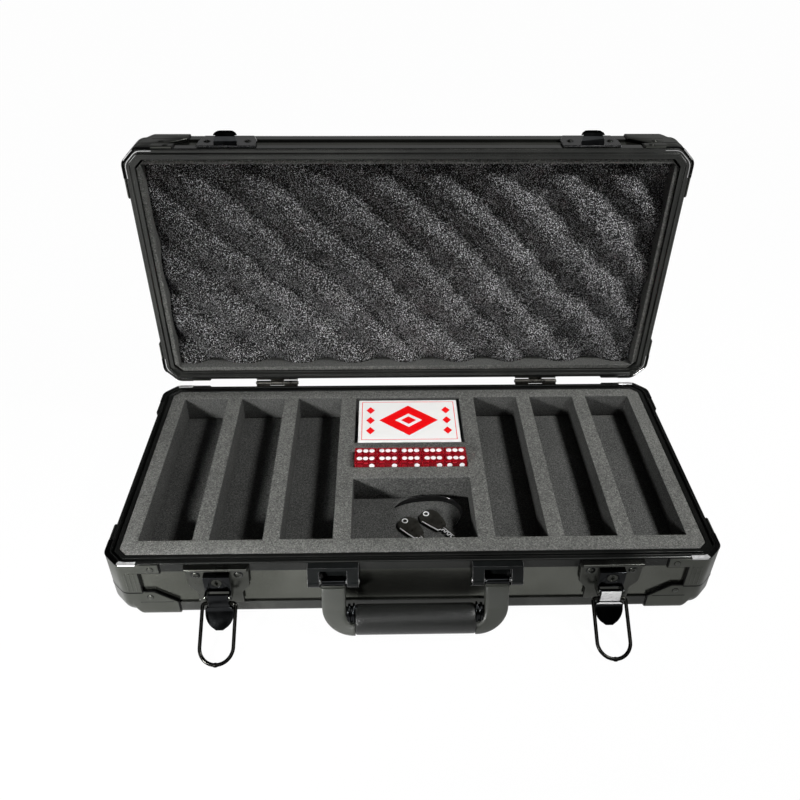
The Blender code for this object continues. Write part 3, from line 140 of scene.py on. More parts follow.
room = bpy.data.worlds.new("room")
bpy.context.scene.world = room
tree, rays = bare_tree(room)
dim = add(tree, "ShaderNodeBackground", {"Color": (1, 1, 1, 1), "Strength": 0.02})
bright = add(tree, "ShaderNodeBackground", {"Color": (1, 1, 1, 1), "Strength": 1.0})
add(tree, "ShaderNodeOutputWorld", {"Surface": white_when_seen(tree, rays, dim, bright, 1.0)})

# The lamps: a low near one on the left and a higher one on the right. The far wall of the room
# and a pale screen high in front of the case are oblongs that only the glossy pieces mirror.
for lamp_name, place, aim, wide, high, watts, beam in (
    ("left_lamp", (-0.6, -0.75, 0.37), (-0.25, -0.2, 0.0), 0.12, 0.12, 1.42, 48.0),
    ("right_lamp", (0.545, -0.12, 0.73), (0.05, 0.0, 0.05), 0.14, 0.14, 6.8, 180.0),
    ("far_wall", (0.0, 1.7, 0.9), (0.0, 0.0, 0.9), 2.4, 0.6, 1.6, 180.0),
    ("near_screen", (0.0, -1.0, 1.25), (0.0, -0.12, 0.05), 1.2, 0.5, 5.0, 180.0),
):
    lamp_data = bpy.data.lights.new(lamp_name, "AREA")
    lamp_data.shape = "RECTANGLE"
    lamp_data.size = wide
    lamp_data.size_y = high
    lamp_data.energy = watts
    lamp_data.spread = math.radians(beam)
    lamp = linked(lamp_name, lamp_data)
    lamp.location = place
    lamp.rotation_euler = (Vector(aim) - Vector(place)).to_track_quat("-Z", "Y").to_euler()
    if not lamp_name.endswith("lamp"):
        lamp.visible_diffuse = False
        lamp.visible_camera = False
        lamp.visible_transmission = False

# Rails: black anodised aluminium extrusions that frame the opening, the floor and the top.
# Their drawn faces have fine lines along them, and their sharp edges catch the light.


def new_finish(name, sockets):
    """A Principled finish with some sockets set, its nodes and its object coordinates."""
    finish = bpy.data.materials.new(name)
    finish.use_nodes = True
    tree = finish.node_tree
    shader = tree.nodes["Principled BSDF"]
    for socket, value in sockets.items():
        shader.inputs[socket].default_value = value
    return finish, tree, shader, add(tree, "ShaderNodeTexCoord").outputs["Object"]


def noise(tree, vector, scale, detail=2.0, roughness=0.5):
    """Soft random variation of a given fineness."""
    feeds = {"Vector": vector, "Scale": scale, "Detail": detail, "Roughness": roughness}
    return add(tree, "ShaderNodeTexNoise", feeds).outputs["Fac"]


def stretched(tree, vector, scale):
    """The object's coordinates, stretched or squeezed along its axes."""
    return add(tree, "ShaderNodeMapping", {"Vector": vector, "Scale": scale}).outputs["Vector"]


def toned(tree, shader, value, tones, rough_by=None, rough=()):
    """Colours picked along one factor, as (place, colour) tones, and roughness along another."""
    node = add(tree, "ShaderNodeValToRGB", {"Fac": value})
    while len(node.color_ramp.elements) < len(tones):
        node.color_ramp.elements.new(0.5)
    for element, (place, colour) in zip(node.color_ramp.elements, tones):
        element.position = place
        element.color = (*colour, 1) if isinstance(colour, tuple) else (colour, colour, colour, 1)
    tree.links.new(node.outputs["Color"], shader.inputs["Base Color"])
    if rough:
        tree.links.new(between(tree, rough_by, *rough), shader.inputs["Roughness"])


def bumped(tree, shader, height, distance, strength):
    """A relief on the finish."""
    relief = add(tree, "ShaderNodeBump", {"Height": height, "Distance": distance, "Strength": strength})
    tree.links.new(relief.outputs["Normal"], shader.inputs["Normal"])


def anodised(name, deep, pale):
    """Black anodising between two tones, with drawn lines and smudges."""
    sockets = {"Metallic": 0.75, "Specular Tint": (0.8, 0.8, 0.8, 1)}
    finish, tree, shader, place = new_finish(name, sockets)
    smudges = noise(tree, place, 22.0, 4.0, 0.6)
    toned(tree, shader, smudges, ((0.35, deep), (0.7, pale)), smudges, (0.14, 0.24, 0.3, 0.7))
    bumped(tree, shader, noise(tree, stretched(tree, place, (5, 5, 900)), 1.0, 3.0, 0.6), 0.00001, 0.2)
    return finish


def keep_node(node_name, finish, edge=0.0, steps=2, edge_highlight_paint=None):
    """A made piece stays as it is, with its finish and its edges broken a little; a second finish, when
    given, paints a highlight on the bevels.
    """
    piece = nodes[node_name]
    piece.data.materials.clear()
    piece.data.materials.append(finish)
    if edge_highlight_paint:
        piece.data.materials.append(edge_highlight_paint)
    if edge:
        piece.modifiers.new("weld", "WELD").merge_threshold = 0.00002
        rounding = piece.modifiers.new("broken_edges", "BEVEL")
        rounding.width = edge
        rounding.segments = steps
        rounding.limit_method = "ANGLE"
        rounding.angle_limit = math.radians(35)
        rounding.harden_normals = False
        rounding.material = 1 if edge_highlight_paint else -1


rim_black = anodised("rim_anodised", (0.018, 0.019, 0.018), (0.03, 0.031, 0.029))
edge_black = anodised("rail_anodised", (0.042, 0.043, 0.041), (0.064, 0.066, 0.061))
keep_node("base_rim_rail", rim_black, 0.0005, 3)
for rail in ("base_edge_rail", "lid_rim_rail", "lid_edge_rail"):
    keep_node(rail, edge_black, 0.0005, 3)

# Wall panels, floor sheet and top sheet: thin moulded sheets, dark olive grey, with a fine
# even pebble grain that scatters the light. They slide into the rails' channels.
panel_grain, tree, shader, place = new_finish(
    "panel_abs", {"Metallic": 0.93, "Specular Tint": (0.5, 0.5, 0.5, 1)}
)
fleck = noise(tree, place, 1500.0, 2.0, 0.7)
tint = number(tree, "MULTIPLY_ADD", fleck, 0.6, noise(tree, place, 9.0, 3.0, 0.55))
panel_tones = ((0.66, (0.078, 0.081, 0.07)), (0.94, (0.142, 0.146, 0.13)))
toned(tree, shader, tint, panel_tones, fleck, (0.15, 0.23))
pebbles = add(tree, "ShaderNodeTexVoronoi", {"Vector": place, "Scale": 1400.0})
bumped(tree, shader, pebbles.outputs["Distance"], 0.00005, 0.45)
for part in ("base", "lid"):
    for wall in ("front", "back", "left", "right"):
        keep_node(part + "_" + wall + "_panel", panel_grain)
keep_node("base_floor_sheet", panel_grain, 0.0004)
keep_node("lid_top_sheet", panel_grain, 0.0004)

# Corner guards: pressed steel with a dark olive grey coat. Each has a tab on the rim, a ribbed
# post down the corner and a ball cap at its foot, and domed rivets ringed in black as painted shade.
# Black strips round its edges and along a groove paint the shadow in its seams. On the base a lip
# folded over the rim carries a painted highlight along the front wall and is black, painted shade,
# elsewhere; on the lid the lip is black and two strips on the rim carry painted highlight lines.


def clouded(name, grain, tones, rough, sockets, along=None, peel=None):
    """A finish whose tone and roughness follow one noise; peel is a fine relief over it."""
    finish, tree, shader, place = new_finish(name, sockets)
    cloud = noise(tree, stretched(tree, place, along) if along else place, *grain)
    toned(tree, shader, cloud, tones, cloud, rough)
    if peel:
        scale, distance, strength = peel
        bumped(tree, shader, noise(tree, place, scale, 1.0), distance, strength)
    return finish


METAL = {"Metallic": 1.0}
guard_tones = ((0.3, (0.074, 0.077, 0.068)), (0.72, (0.1, 0.104, 0.092)))
guard_coat = clouded(
    "guard_coated", (30.0, 4.0, 0.6), guard_tones, (0.26, 0.38, 0.3, 0.7), {"Metallic": 0.9},
    peel=(1300.0, 0.00005, 0.5),
)
# Black for strips and rings that are painted shade in seams and round heads.
shade_strip_tones = ((0.3, 0.008), (0.75, 0.016))
painted_shade_black = clouded("guard_painted_shade_black", (300.0, 3.0, 0.6), shade_strip_tones, (0.25, 0.45), METAL)
# Bright finishes for the guard's lip and rim lines: painted highlights.
painted_highlight_lip = clouded(
    "guard_lip_painted_highlight", (4.0, 4.0, 0.65), ((0.35, 0.45), (0.7, 0.8)), (0.3, 0.48), {"Metallic": 0.5},
    along=(60, 60, 600),
)
highlight_line_tones = ((0.3, 0.55), (0.7, 0.9))
painted_highlight_line = clouded("guard_painted_highlight_line", (260.0, 3.0, 0.6), highlight_line_tones, (0.12, 0.3), METAL)

CASE_HALF = (0.2325, 0.113)
CASE_FRONT = -CASE_HALF[1]
CASE_TOP = 0.0936
HINGE = Vector((0.0, 0.1172, 0.0573))
LID_TURN = Matrix.Rotation(math.radians(-90), 4, "X")
LID_OPEN = Matrix.Translation(HINGE) @ LID_TURN @ Matrix.Translation(-HINGE)
CORNER_CUT = 0.0115
GUARD_OUT = 0.0015
GUARD_IN = 0.0003
RIM_BAND = 0.009
POST_REACH = 0.0245
TAB_REACH = 0.041
CAP_REACH = 0.05
CAP_SHOULDER = 0.0335
CAP_HEIGHT = 0.0265
CAP_END_HEIGHT = 0.015
CAP_GAP = 0.0003
GUARD_FOOT = 0.0139
SHADE_STRIP_OUT = 0.00165
corners = {"front_right": (1, -1), "back_right": (1, 1), "back_left": (-1, 1), "front_left": (-1, -1)}
wall_heights = {"base": 0.057, "lid": 0.036}


def corner_rows(section, reach):
    """A corner's rows of points as (in from the side wall, in from the front wall, height).

    The section is a function of how far the corner's ball has swelled, from 0 to 1, and the
    plan runs from one straight wall round the cut corner to the other.
    """
    straight = [reach, min(reach - 0.0001, 0.0215)]
    for index, stop in enumerate((0.02, 0.0185, 0.0172, 0.0162), start=2):
        straight.append(min(stop, reach - 0.0002 * index))
    rows = []
    for index, share in enumerate([0.0, 0.0, 0.1, 0.35, 0.65, 0.9] + [1.0] * 6):
        row = []
        for inset, height in section(share):
            bend = Vector((CORNER_CUT + inset * 0.4142, inset))
            before = bend + Vector((0.004, 0))
            after = bend + Vector((-0.0028, 0.0028))
            step = (index - 6) / 5
            point = before.lerp(bend, step).lerp(bend.lerp(after, step), step)
            if index < 6:
                point = Vector((straight[index], inset))
            row.append((point.x, point.y, height))
        rows.append(row)
    return rows + [[(y, x, z) for x, y, z in row] for row in reversed(rows)]


def lofted(rows):
    """A closed mesh through rows of points, each row a closed section."""
    bm = bmesh.new()
    made = [[bm.verts.new(point) for point in row] for row in rows]
    for first, second in zip(made, made[1:]):
        for index in range(len(first)):
            after = (index + 1) % len(first)
            bm.faces.new((first[index], first[after], second[after], second[index]))
    bm.faces.new(made[0])
    bm.faces.new(reversed(made[-1]))
    bmesh.ops.recalc_face_normals(bm, faces=bm.faces)
    if bm.calc_volume(signed=True) < 0:
        bmesh.ops.reverse_faces(bm, faces=bm.faces)
    return bm


def new_object(name, bm, finish):
    """A plain object from a bmesh, with one finish."""
    mesh = bpy.data.meshes.new(name)
    bm.to_mesh(mesh)
    bm.free()
    mesh.materials.append(finish)
    return linked(name, mesh)


def settle(piece):
    """Turns a piece's modifiers into its mesh."""
    depsgraph = bpy.context.evaluated_depsgraph_get()
    mesh = bpy.data.meshes.new_from_object(piece.evaluated_get(depsgraph))
    piece.modifiers.clear()
    piece.data = mesh


def cut(piece, tool_bm):
    """Cuts a tool mesh out of a piece."""
    tool = new_object(piece.name + "_tool", tool_bm, piece.data.materials[0])
    modifier = piece.modifiers.new("cut", "BOOLEAN")
    modifier.solver = "EXACT"
    modifier.object = tool
    settle(piece)
    bpy.data.objects.remove(tool)


def smoothed(piece, sharp):
    """Smooth shading that stops at edges sharper than an angle."""
    piece.data.shade_smooth()
    piece.data.set_sharp_from_angle(angle=math.radians(sharp))


def rounded(piece, width, segments=2, angle=35, sharp=40):
    """Rounds a piece's sharp edges and smooths what is left."""
    modifier = piece.modifiers.new("rounding", "BEVEL")
    modifier.width = width
    modifier.segments = segments
    modifier.limit_method = "ANGLE"
    modifier.angle_limit = math.radians(angle)
    settle(piece)
    smoothed(piece, sharp)
    return piece


def repainted(piece, finish, chosen):
    """Another finish on the faces that a test of their centre and normal picks."""
    piece.data.materials.append(finish)
    for face in piece.data.polygons:
        if chosen(face.center, face.normal):
            face.material_index = len(piece.data.materials) - 1


def prism(outline, travel):
    """A solid from a flat outline of 3-D points and a travel."""
    return lofted([outline, [Vector(point) + Vector(travel) for point in outline]])


def path_ways(path):
    """Each point of a path, with the way to it and the way on."""
    points = [Vector(point) for point in path]
    ways = [(on - here).normalized() for here, on in zip(points, points[1:])]
    return zip(points, ways[:1] + ways, ways + ways[-1:])


def band(path, half_width, low, high, to_point):
    """A flat bead along a path in a wall's plane; low and high are how far out it stands."""
    rows = []
    for here, back, on in path_ways(path):
        across = Vector((-(back + on).y, (back + on).x)).normalized()
        widen = half_width / max(0.5, across.dot(Vector((-on.y, on.x))))
        edge = min(half_width, high - low) * 0.4
        half_section = [(widen - edge, high), (widen, high - edge), (widen, low)]
        section = [(-side, out) for side, out in reversed(half_section)] + half_section
        rows.append([to_point(*(here + across * side), out) for side, out in section])
    return lofted(rows)


def merged(pieces_bm):
    """Several meshes in one."""
    whole = bmesh.new()
    for part_bm in pieces_bm:
        mesh = bpy.data.meshes.new("part")
        part_bm.to_mesh(mesh)
        part_bm.free()
        whole.from_mesh(mesh)
        bpy.data.meshes.remove(mesh)
    return whole


def fitted(piece, body, stands_for=None):
    """Puts a piece on its body and hides the made piece that it stands for."""
    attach(piece, body)
    if stands_for:
        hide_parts(stands_for)


def at_corner(seed, name, part, corner, stands_for=None):
    """A copy of a corner piece, fitted at one corner of the base or the lid."""
    side_x, side_y = corners[corner]
    up, lift = (1, 0) if part == "base" else (-1, CASE_TOP)
    place_matrix = Matrix((
        (-side_x, 0, 0, side_x * CASE_HALF[0]),
        (0, -side_y, 0, side_y * CASE_HALF[1]),
        (0, 0, up, lift),
        (0, 0, 0, 1),
    ))
    if part == "lid":
        place_matrix = LID_OPEN @ place_matrix
    mesh = seed.data.copy()
    mesh.transform(place_matrix)
    if place_matrix.determinant() < 0:
        mesh.flip_normals()
    mesh.name = name
    fitted(linked(name, mesh), part, stands_for)


def guard_section(height):
    """The guard's shell in section: a wall, a rounded foot and the way back inside."""

    def section(share):
        reach = 0.005 + 0.008 * share
        rise = 0.005 + 0.01 * share
        sides = []
        for offset in (GUARD_OUT, GUARD_IN):
            points = [(-offset, height - GUARD_IN), (-offset, (height + rise) / 2)]
            for step in range(13):
                angle = math.pi / 2 * step / 12
                x = reach - (reach + offset) * math.cos(angle)
                points.append((x, rise - (rise + offset) * math.sin(angle)))
            sides.append(points + [(GUARD_FOOT, -offset)])
        return sides[0] + list(reversed(sides[1]))

    return section


def corner_strip(inset_from, inset_to, low, high, reach):
    """A strip of oblong section round the corner."""
    section = [(inset_from, low), (inset_from, high), (inset_to, high), (inset_to, low)]
    return lofted(corner_rows(lambda share: section, reach))


def guard_pieces(height):
    """One corner's guard, its black painted-shade strips, its lip with painted highlight and its ribs, at
    the corner of two walls.
    """
    tab = height - RIM_BAND
    cap = min(CAP_HEIGHT, tab - CAP_GAP)
    over, beyond = height + 0.003, CAP_REACH + 0.003
    window = [
        (POST_REACH, tab), (TAB_REACH, tab), (TAB_REACH, over), (beyond, over),
        (beyond, CAP_END_HEIGHT), (CAP_REACH, CAP_END_HEIGHT), (CAP_SHOULDER, cap), (POST_REACH, cap),
    ]
    shell = new_object("guard", lofted(corner_rows(guard_section(height), CAP_REACH)), guard_coat)
    cut(shell, prism([(u, -0.006, z) for u, z in window], (0, 0.011, 0)))
    cut(shell, prism([(-0.006, u, z) for u, z in window], (0.011, 0, 0)))
    rounded(shell, 0.00045, sharp=45)

    post, cap_end, tab_end = POST_REACH + 0.0004, CAP_REACH + 0.0004, TAB_REACH + 0.0004
    # The black strips along the cap's top, round the tab and cap and along a groove are painted shadow in
    # the seams.
    shade_strips = [corner_strip(-SHADE_STRIP_OUT, -0.001, cap - 0.0009, cap, post)]
    border = [(tab_end, height - 0.0006), (tab_end, tab - 0.0004), (post, tab - 0.0004)]
    if tab - cap > 0.002:
        border.append((post, cap + 0.0004))
    border += [(CAP_SHOULDER + 0.0002, cap + 0.0004), (cap_end, CAP_END_HEIGHT + 0.0002), (cap_end, 0.0035)]
    groove = min(0.0155, cap - 0.006)
    ribs = []
    for to_point in (lambda u, z, out: (u, -out, z), lambda u, z, out: (-out, u, z)):
        shade_strips.append(band(border, 0.00045, -0.0014, 0.0011, to_point))
        shade_strips.append(band([(0.0215, groove), (0.047, groove)], 0.0004, 0.001, 0.00162, to_point))
        if tab - cap > 0.008:
            for across in (0.015, 0.0182, 0.0214):
                rib_line = [(across, cap + 0.0016), (across, tab - 0.0004)]
                ribs.append(band(rib_line, 0.0006, 0.001, 0.0018, to_point))
    shade_strip = new_object("guard_shade_strip", merged(shade_strips), painted_shade_black)
    smoothed(shade_strip, 30)
    rib = new_object("guard_ribs", merged(ribs), guard_coat) if ribs else None

    on_base = height > 0.05
    lip_in = 0.0022 if on_base else -0.0004
    lip_section = [
        (-SHADE_STRIP_OUT, height - 0.0009), (-0.0017, height - 0.0002), (-0.0014, height + 0.0002),
        (lip_in - 0.0004, height + 0.00022), (lip_in, height - 0.0001), (lip_in, height - 0.0009),
    ]
    lips = [lofted(corner_rows(lambda share: lip_section, POST_REACH))]
    if not on_base:
        for inset in (0.0014, 0.0034):
            lips.append(corner_strip(inset, inset + 0.0005, height - 0.0006, height + 0.0002, POST_REACH))
    lip = new_object("guard_lip", merged(lips), painted_highlight_lip)
    smoothed(lip, 30)
    # On the base the lip is bright along the front wall, a painted highlight, and black, painted shade,
    # round the corner and along the side wall. On the lid the lip is black and the two rim strips carry
    # painted highlight lines.
    line_start = 0.001
    repainted(lip, painted_shade_black, lambda at, n: at.x < CORNER_CUT if on_base else min(at.x, at.y) <= line_start)
    repainted(lip, painted_highlight_line, lambda at, n: not on_base and min(at.x, at.y) > line_start)
    return shell, shade_strip, lip, rib


for part, height in wall_heights.items():
    guard, shade_strip, lip, rib = guard_pieces(height)
    for corner in corners:
        at_corner(
            guard, part + "_corner_guard_" + corner, part, corner, part + "_guard_" + corner
        )
        at_corner(shade_strip, part + "_guard_shade_strip_" + corner, part, corner)
        at_corner(lip, part + "_guard_lip_" + corner, part, corner)
        if rib:
            at_corner(rib, part + "_guard_ribs_" + corner, part, corner)
    for seed in (guard, shade_strip, lip, rib):
        if seed:
            bpy.data.objects.remove(seed)


def triple(tree, x, y, z):
    """A vector from three fields or numbers."""
    return add(tree, "ShaderNodeCombineXYZ", {0: x, 1: y, 2: z}).outputs["Vector"]


def tree_with_inputs(name, inputs):
    """A geometry tree with named number inputs, a finish, and one mesh in and out."""
    tree = bpy.data.node_groups.new(name, "GeometryNodeTree")
    tree.interface.new_socket("Geometry", in_out="INPUT", socket_type="NodeSocketGeometry")
    for label, value in inputs.items():
        socket = tree.interface.new_socket(label, in_out="INPUT", socket_type="NodeSocketFloat")
        socket.default_value = value
    tree.interface.new_socket("Finish", in_out="INPUT", socket_type="NodeSocketMaterial")
    tree.interface.new_socket("Geometry", in_out="OUTPUT", socket_type="NodeSocketGeometry")
    return tree, tree.nodes.new("NodeGroupInput").outputs


def ended(tree, geometry, finish):
    """Ends a geometry tree with real, smooth faces in their finish."""
    geometry = add(tree, "GeometryNodeRealizeInstances", {"Geometry": geometry}).outputs[0]
    geometry = add(tree, "GeometryNodeSetShadeSmooth", {"Geometry": geometry}).outputs[0]
    painted = add(tree, "GeometryNodeSetMaterial", {"Geometry": geometry, "Material": finish})
    add(tree, "NodeGroupOutput", {"Geometry": painted.outputs[0]})


def grown(name, tree, values, seed_mesh):
    """A plain mesh piece made by a geometry tree on a seed mesh, with its inputs set by name."""
    holder = linked(name + "_seed", seed_mesh)
    modifier = holder.modifiers.new("grown", "NODES")
    modifier.node_group = tree
    for item in tree.interface.items_tree:
        if item.in_out == "INPUT" and item.name in values:
            modifier[item.identifier] = values[item.name]
    settle(holder)
    mesh = holder.data
    mesh.name = name
    bpy.data.objects.remove(holder)
    return linked(name, mesh)


tree, given = tree_with_inputs("domed_heads", {"Radius": 0.0023, "Height": 0.0009, "Cross": 0.0})
heads_tree = tree
radius, height, cross = given["Radius"], given["Height"], given["Cross"]
dome = add(tree, "GeometryNodeMeshUVSphere", {"Segments": 20, "Rings": 10, "Radius": 1.0})
flat_scale = triple(tree, radius, radius, height)
flat = add(tree, "GeometryNodeTransform", {"Geometry": dome.outputs["Mesh"], "Scale": flat_scale})
thin_share = number(tree, "MAXIMUM", number(tree, "MULTIPLY", cross, 0.3), 0.00001)
thin_side = number(tree, "MULTIPLY", radius, thin_share)
long_side = number(tree, "MULTIPLY", radius, 1.15)
deep = number(tree, "MAXIMUM", number(tree, "MULTIPLY", cross, height), 0.00001)
bars = []
for wide, long in ((long_side, thin_side), (thin_side, long_side)):
    bar = add(tree, "GeometryNodeMeshCube", {"Size": triple(tree, wide, long, deep)}).outputs["Mesh"]
    feeds = {"Geometry": bar, "Translation": triple(tree, 0.0, 0.0, height)}
    bars.append(add(tree, "GeometryNodeTransform", feeds).outputs["Geometry"])
feeds = {"Mesh 1": flat.outputs["Geometry"], "Mesh 2": bars}
crossed = add(tree, "GeometryNodeMeshBoolean", feeds, operation="DIFFERENCE", solver="EXACT")
facing = add(tree, "GeometryNodeInputNamedAttribute", {"Name": "facing"}, data_type="FLOAT_VECTOR")
feeds = {"Vector": facing.outputs["Attribute"]}
aligned = add(tree, "FunctionNodeAlignRotationToVector", feeds, axis="Z")
feeds = {
    "Points": given["Geometry"], "Instance": crossed.outputs["Mesh"], "Rotation": aligned.outputs["Rotation"]
}
ended(tree, add(tree, "GeometryNodeInstanceOnPoints", feeds).outputs["Instances"], given["Finish"])


def heads(name, spots, radius, height, cross, finish, body):
    """Domed heads on (position, facing) spots, plain for rivets and cross slotted for screws."""
    mesh = bpy.data.meshes.new("spots")
    mesh.from_pydata([tuple(position) for position, facing in spots], [], [])
    facings = mesh.attributes.new("facing", "FLOAT_VECTOR", "POINT")
    for index, (position, facing) in enumerate(spots):
        facings.data[index].vector = facing
    values = {"Radius": radius, "Height": height, "Cross": cross, "Finish": finish}
    piece = grown(name, heads_tree, values, mesh)
    smoothed(piece, 40)
    fitted(piece, body)


for part, height in wall_heights.items():
    cap = min(CAP_HEIGHT, height - RIM_BAND - CAP_GAP)
    rivet_spots = []
    for side_x, side_y in corners.values():
        for reach, level in ((0.035, height - 0.005), (0.03, cap - 0.0052)):
            for u, v, facing in ((reach, -GUARD_OUT, (0, side_y, 0)), (-GUARD_OUT, reach, (side_x, 0, 0))):
                z = level if part == "base" else CASE_TOP - level
                spot = Vector((side_x * (CASE_HALF[0] - u), side_y * (CASE_HALF[1] - v), z))
                if part == "lid":
                    spot = LID_OPEN @ spot
                    facing = LID_OPEN.to_3x3() @ Vector(facing)
                rivet_spots.append((spot, facing))
    heads(part + "_guard_rivets", rivet_spots, 0.0021, 0.0007, 0.0, guard_coat, part)
    # Black rings under the rivet heads are painted shade round them.
    heads(part + "_rivet_shade_rings", rivet_spots, 0.0026, 0.00025, 0.0, painted_shade_black, part)

# Foam of the base: a cut tray over a plain pad. It is close cell foam with a fine fleck, mid grey
# on its top skin; the tray's faces that don't face up and the pad take a darker copy of the
# same foam as painted shade in the slots.


def fleck_foam(name, deep, dark, mid, pale):
    """Close cell foam with four tones of fleck."""
    finish, tree, shader, place = new_finish(name, {"Roughness": 0.95, "Specular IOR Level": 0.1})
    blend = 0.0
    for share, grain in ((0.72, (1150.0, 2.0, 0.75)), (0.18, (480.0, 2.0, 0.6)), (0.1, (24.0, 3.0, 0.6))):
        blend = number(tree, "MULTIPLY_ADD", noise(tree, place, *grain), share, blend)
    toned(tree, shader, blend, ((0.36, deep), (0.46, dark), (0.54, mid), (0.66, pale)))
    bumped(tree, shader, blend, 0.0006, 0.5)
    return finish


tray_flecks = fleck_foam(
    "tray_foam_skin",
    (0.044, 0.045, 0.042), (0.09, 0.091, 0.086), (0.134, 0.135, 0.127), (0.25, 0.25, 0.235),
)
# A darker copy of the tray foam, used as painted shade in the slots.
slot_shade_flecks = fleck_foam(
    "tray_foam_slot_shade", 0.024, (0.053, 0.054, 0.052), (0.082, 0.083, 0.079), (0.156, 0.156, 0.15)
)
strip_flecks = fleck_foam(
    "lid_strip_foam",
    (0.028, 0.029, 0.028), (0.058, 0.059, 0.056), (0.088, 0.089, 0.085), (0.16, 0.16, 0.15),
)


def soften(bm, angle, width, segments):
    """Rounds the cut edges of a foam block that are sharper than an angle."""
    bmesh.ops.recalc_face_normals(bm, faces=bm.faces)
    sharp = [edge for edge in bm.edges if edge.is_manifold and edge.calc_face_angle(0) > math.radians(angle)]
    bmesh.ops.bevel(
        bm, geom=sharp, offset=width, segments=segments, profile=0.5, affect="EDGES", clamp_overlap=True
    )
    bmesh.ops.recalc_face_normals(bm, faces=bm.faces)


def padded_piece(piece, node_name, body):
    """A padded piece that stands in for a soft made one."""
    fitted(piece, body, node_name)
    return piece


def foam_block(new_name, bm, node_name, finish, body):
    """A block of tray foam from a finished mesh."""
    piece = new_object(new_name, bm, finish)
    smoothed(piece, 40)
    return padded_piece(piece, node_name, body)


def foam_from_node(node_name, new_name, finish, width):
    """A foam block of the base with the made piece's outline and softened cut edges."""
    bm = bmesh.new()
    bm.from_mesh(nodes[node_name].data)
    bmesh.ops.remove_doubles(bm, verts=bm.verts, dist=0.00002)
    bmesh.ops.dissolve_limit(bm, angle_limit=math.radians(1), verts=bm.verts, edges=bm.edges)
    soften(bm, 30, width, 3)
    return foam_block(new_name, bm, node_name, finish, "base")


cut_tray = foam_from_node("chip_tray_foam", "cut_tray", tray_flecks, 0.0007)
# The tray's faces that don't face up, and the pad, take the darker copy: painted shade in the slots.
repainted(cut_tray, slot_shade_flecks, lambda at, normal: normal.z < 0.5)
foam_from_node("base_foam_pad", "tray_pad", slot_shade_flecks, 0.0009)

# Lid strip: a thin band of foam glued round the inside of the lid's walls, in a darker copy of the tray
# foam, with its faces towards the front in the lighter tray foam as painted light.


def strip_ring(low, high, wall, cut_off):
    """A band round the inside of the lid, between two heights, with cut outer corners."""
    half_x, half_z = (high.x - low.x) / 2, (high.z - low.z) / 2
    inner = Vector((half_x - wall, half_z - wall))
    bends = [Vector((half_x, half_z - cut_off)), Vector((half_x - cut_off, half_z))]
    bm = bmesh.new()
    made = []
    for side_x, side_y in corners.values():
        for bend in bends if side_x * side_y > 0 else reversed(bends):
            row = []
            for out, depth in ((0, 0), (0.3, 0), (1, 0), (1, 1), (0.3, 1), (0, 1)):
                x, z = inner + (bend - inner) * out
                y = low.y + (high.y - low.y) * depth
                row.append(bm.verts.new((side_x * x, y, (low.z + high.z) / 2 + side_y * z)))
            made.append(row)
    for first, second in zip(made, made[1:] + made[:1]):
        for spot in range(6):
            after = (spot + 1) % 6
            bm.faces.new((first[spot], first[after], second[after], second[spot]))
    bmesh.ops.remove_doubles(bm, verts=bm.verts, dist=0.00001)
    soften(bm, 60, 0.0006, 2)
    return bm


LINER_WALL, LINER_CORNER = 0.004, 0.0076
strip_low, strip_high = (Vector(corner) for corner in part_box("lid_liner_foam"))
ring_bm = strip_ring(strip_low, strip_high, LINER_WALL, LINER_CORNER)
wall_strip = foam_block("lid_wall_strip", ring_bm, "lid_liner_foam", strip_flecks, "lid")
# Faces towards the front take the lighter tray foam: painted light on the strip.
repainted(wall_strip, tray_flecks, lambda at, normal: normal.y < -0.5)

# Egg crate foam of the lid: charcoal open cell foam with rows of round peaks and hollows on
# the diagonal. Sparse bright flecks in its colour are painted glints on its cell walls.
crate_cells, tree, shader, place = new_finish("crate_foam", {"Roughness": 0.9, "Specular IOR Level": 0.2})
# Painted glints: sparse flecks far brighter than the foam's own tone.
painted_glints = noise(tree, place, 1100.0, 2.0, 0.75)
lit = number(tree, "MULTIPLY_ADD", noise(tree, place, 18.0, 3.0, 0.6), 0.08, painted_glints)
crate_tones = ((0.5, 0.006), (0.565, 0.011), (0.61, (0.036, 0.036, 0.037)), (0.66, (0.68, 0.68, 0.69)))
toned(tree, shader, lit, crate_tones)
cells = add(tree, "ShaderNodeTexVoronoi", {"Vector": place, "Scale": 850.0})
bumped(tree, shader, cells.outputs["Distance"], 0.0012, 0.8)

CRATE_PITCH = 0.052
CRATE_RELIEF = 0.0115
tree, given = tree_with_inputs(
    "egg_crate_waves",
    {"Length": 0.44, "Width": 0.2, "Pitch": CRATE_PITCH, "Relief": CRATE_RELIEF, "Back": 0.013},
)
feeds = {"Size X": given["Length"], "Size Y": given["Width"], "Vertices X": 190, "Vertices Y": 88}
grid = add(tree, "GeometryNodeMeshGrid", feeds).outputs["Mesh"]
feeds = {"Mesh": grid, "Offset": triple(tree, 0.0, 0.0, given["Back"]), "Individual": False}
raised = add(tree, "GeometryNodeExtrudeMesh", feeds, mode="FACES").outputs["Mesh"]
flipped = add(tree, "GeometryNodeFlipFaces", {"Mesh": grid}).outputs["Mesh"]
both = add(tree, "GeometryNodeJoinGeometry", {"Geometry": [raised, flipped]}).outputs["Geometry"]
closed = add(tree, "GeometryNodeMergeByDistance", {"Geometry": both, "Distance": 0.00001})
where = add(tree, "GeometryNodeInputPosition").outputs["Position"]
apart = add(tree, "ShaderNodeSeparateXYZ", {"Vector": where}).outputs
drift = number(tree, "MULTIPLY_ADD", noise(tree, where, 11.0, 1.0), 0.024, -0.012)
strayed = number(tree, "ADD", apart["X"], drift)
crossed_waves = 0.0
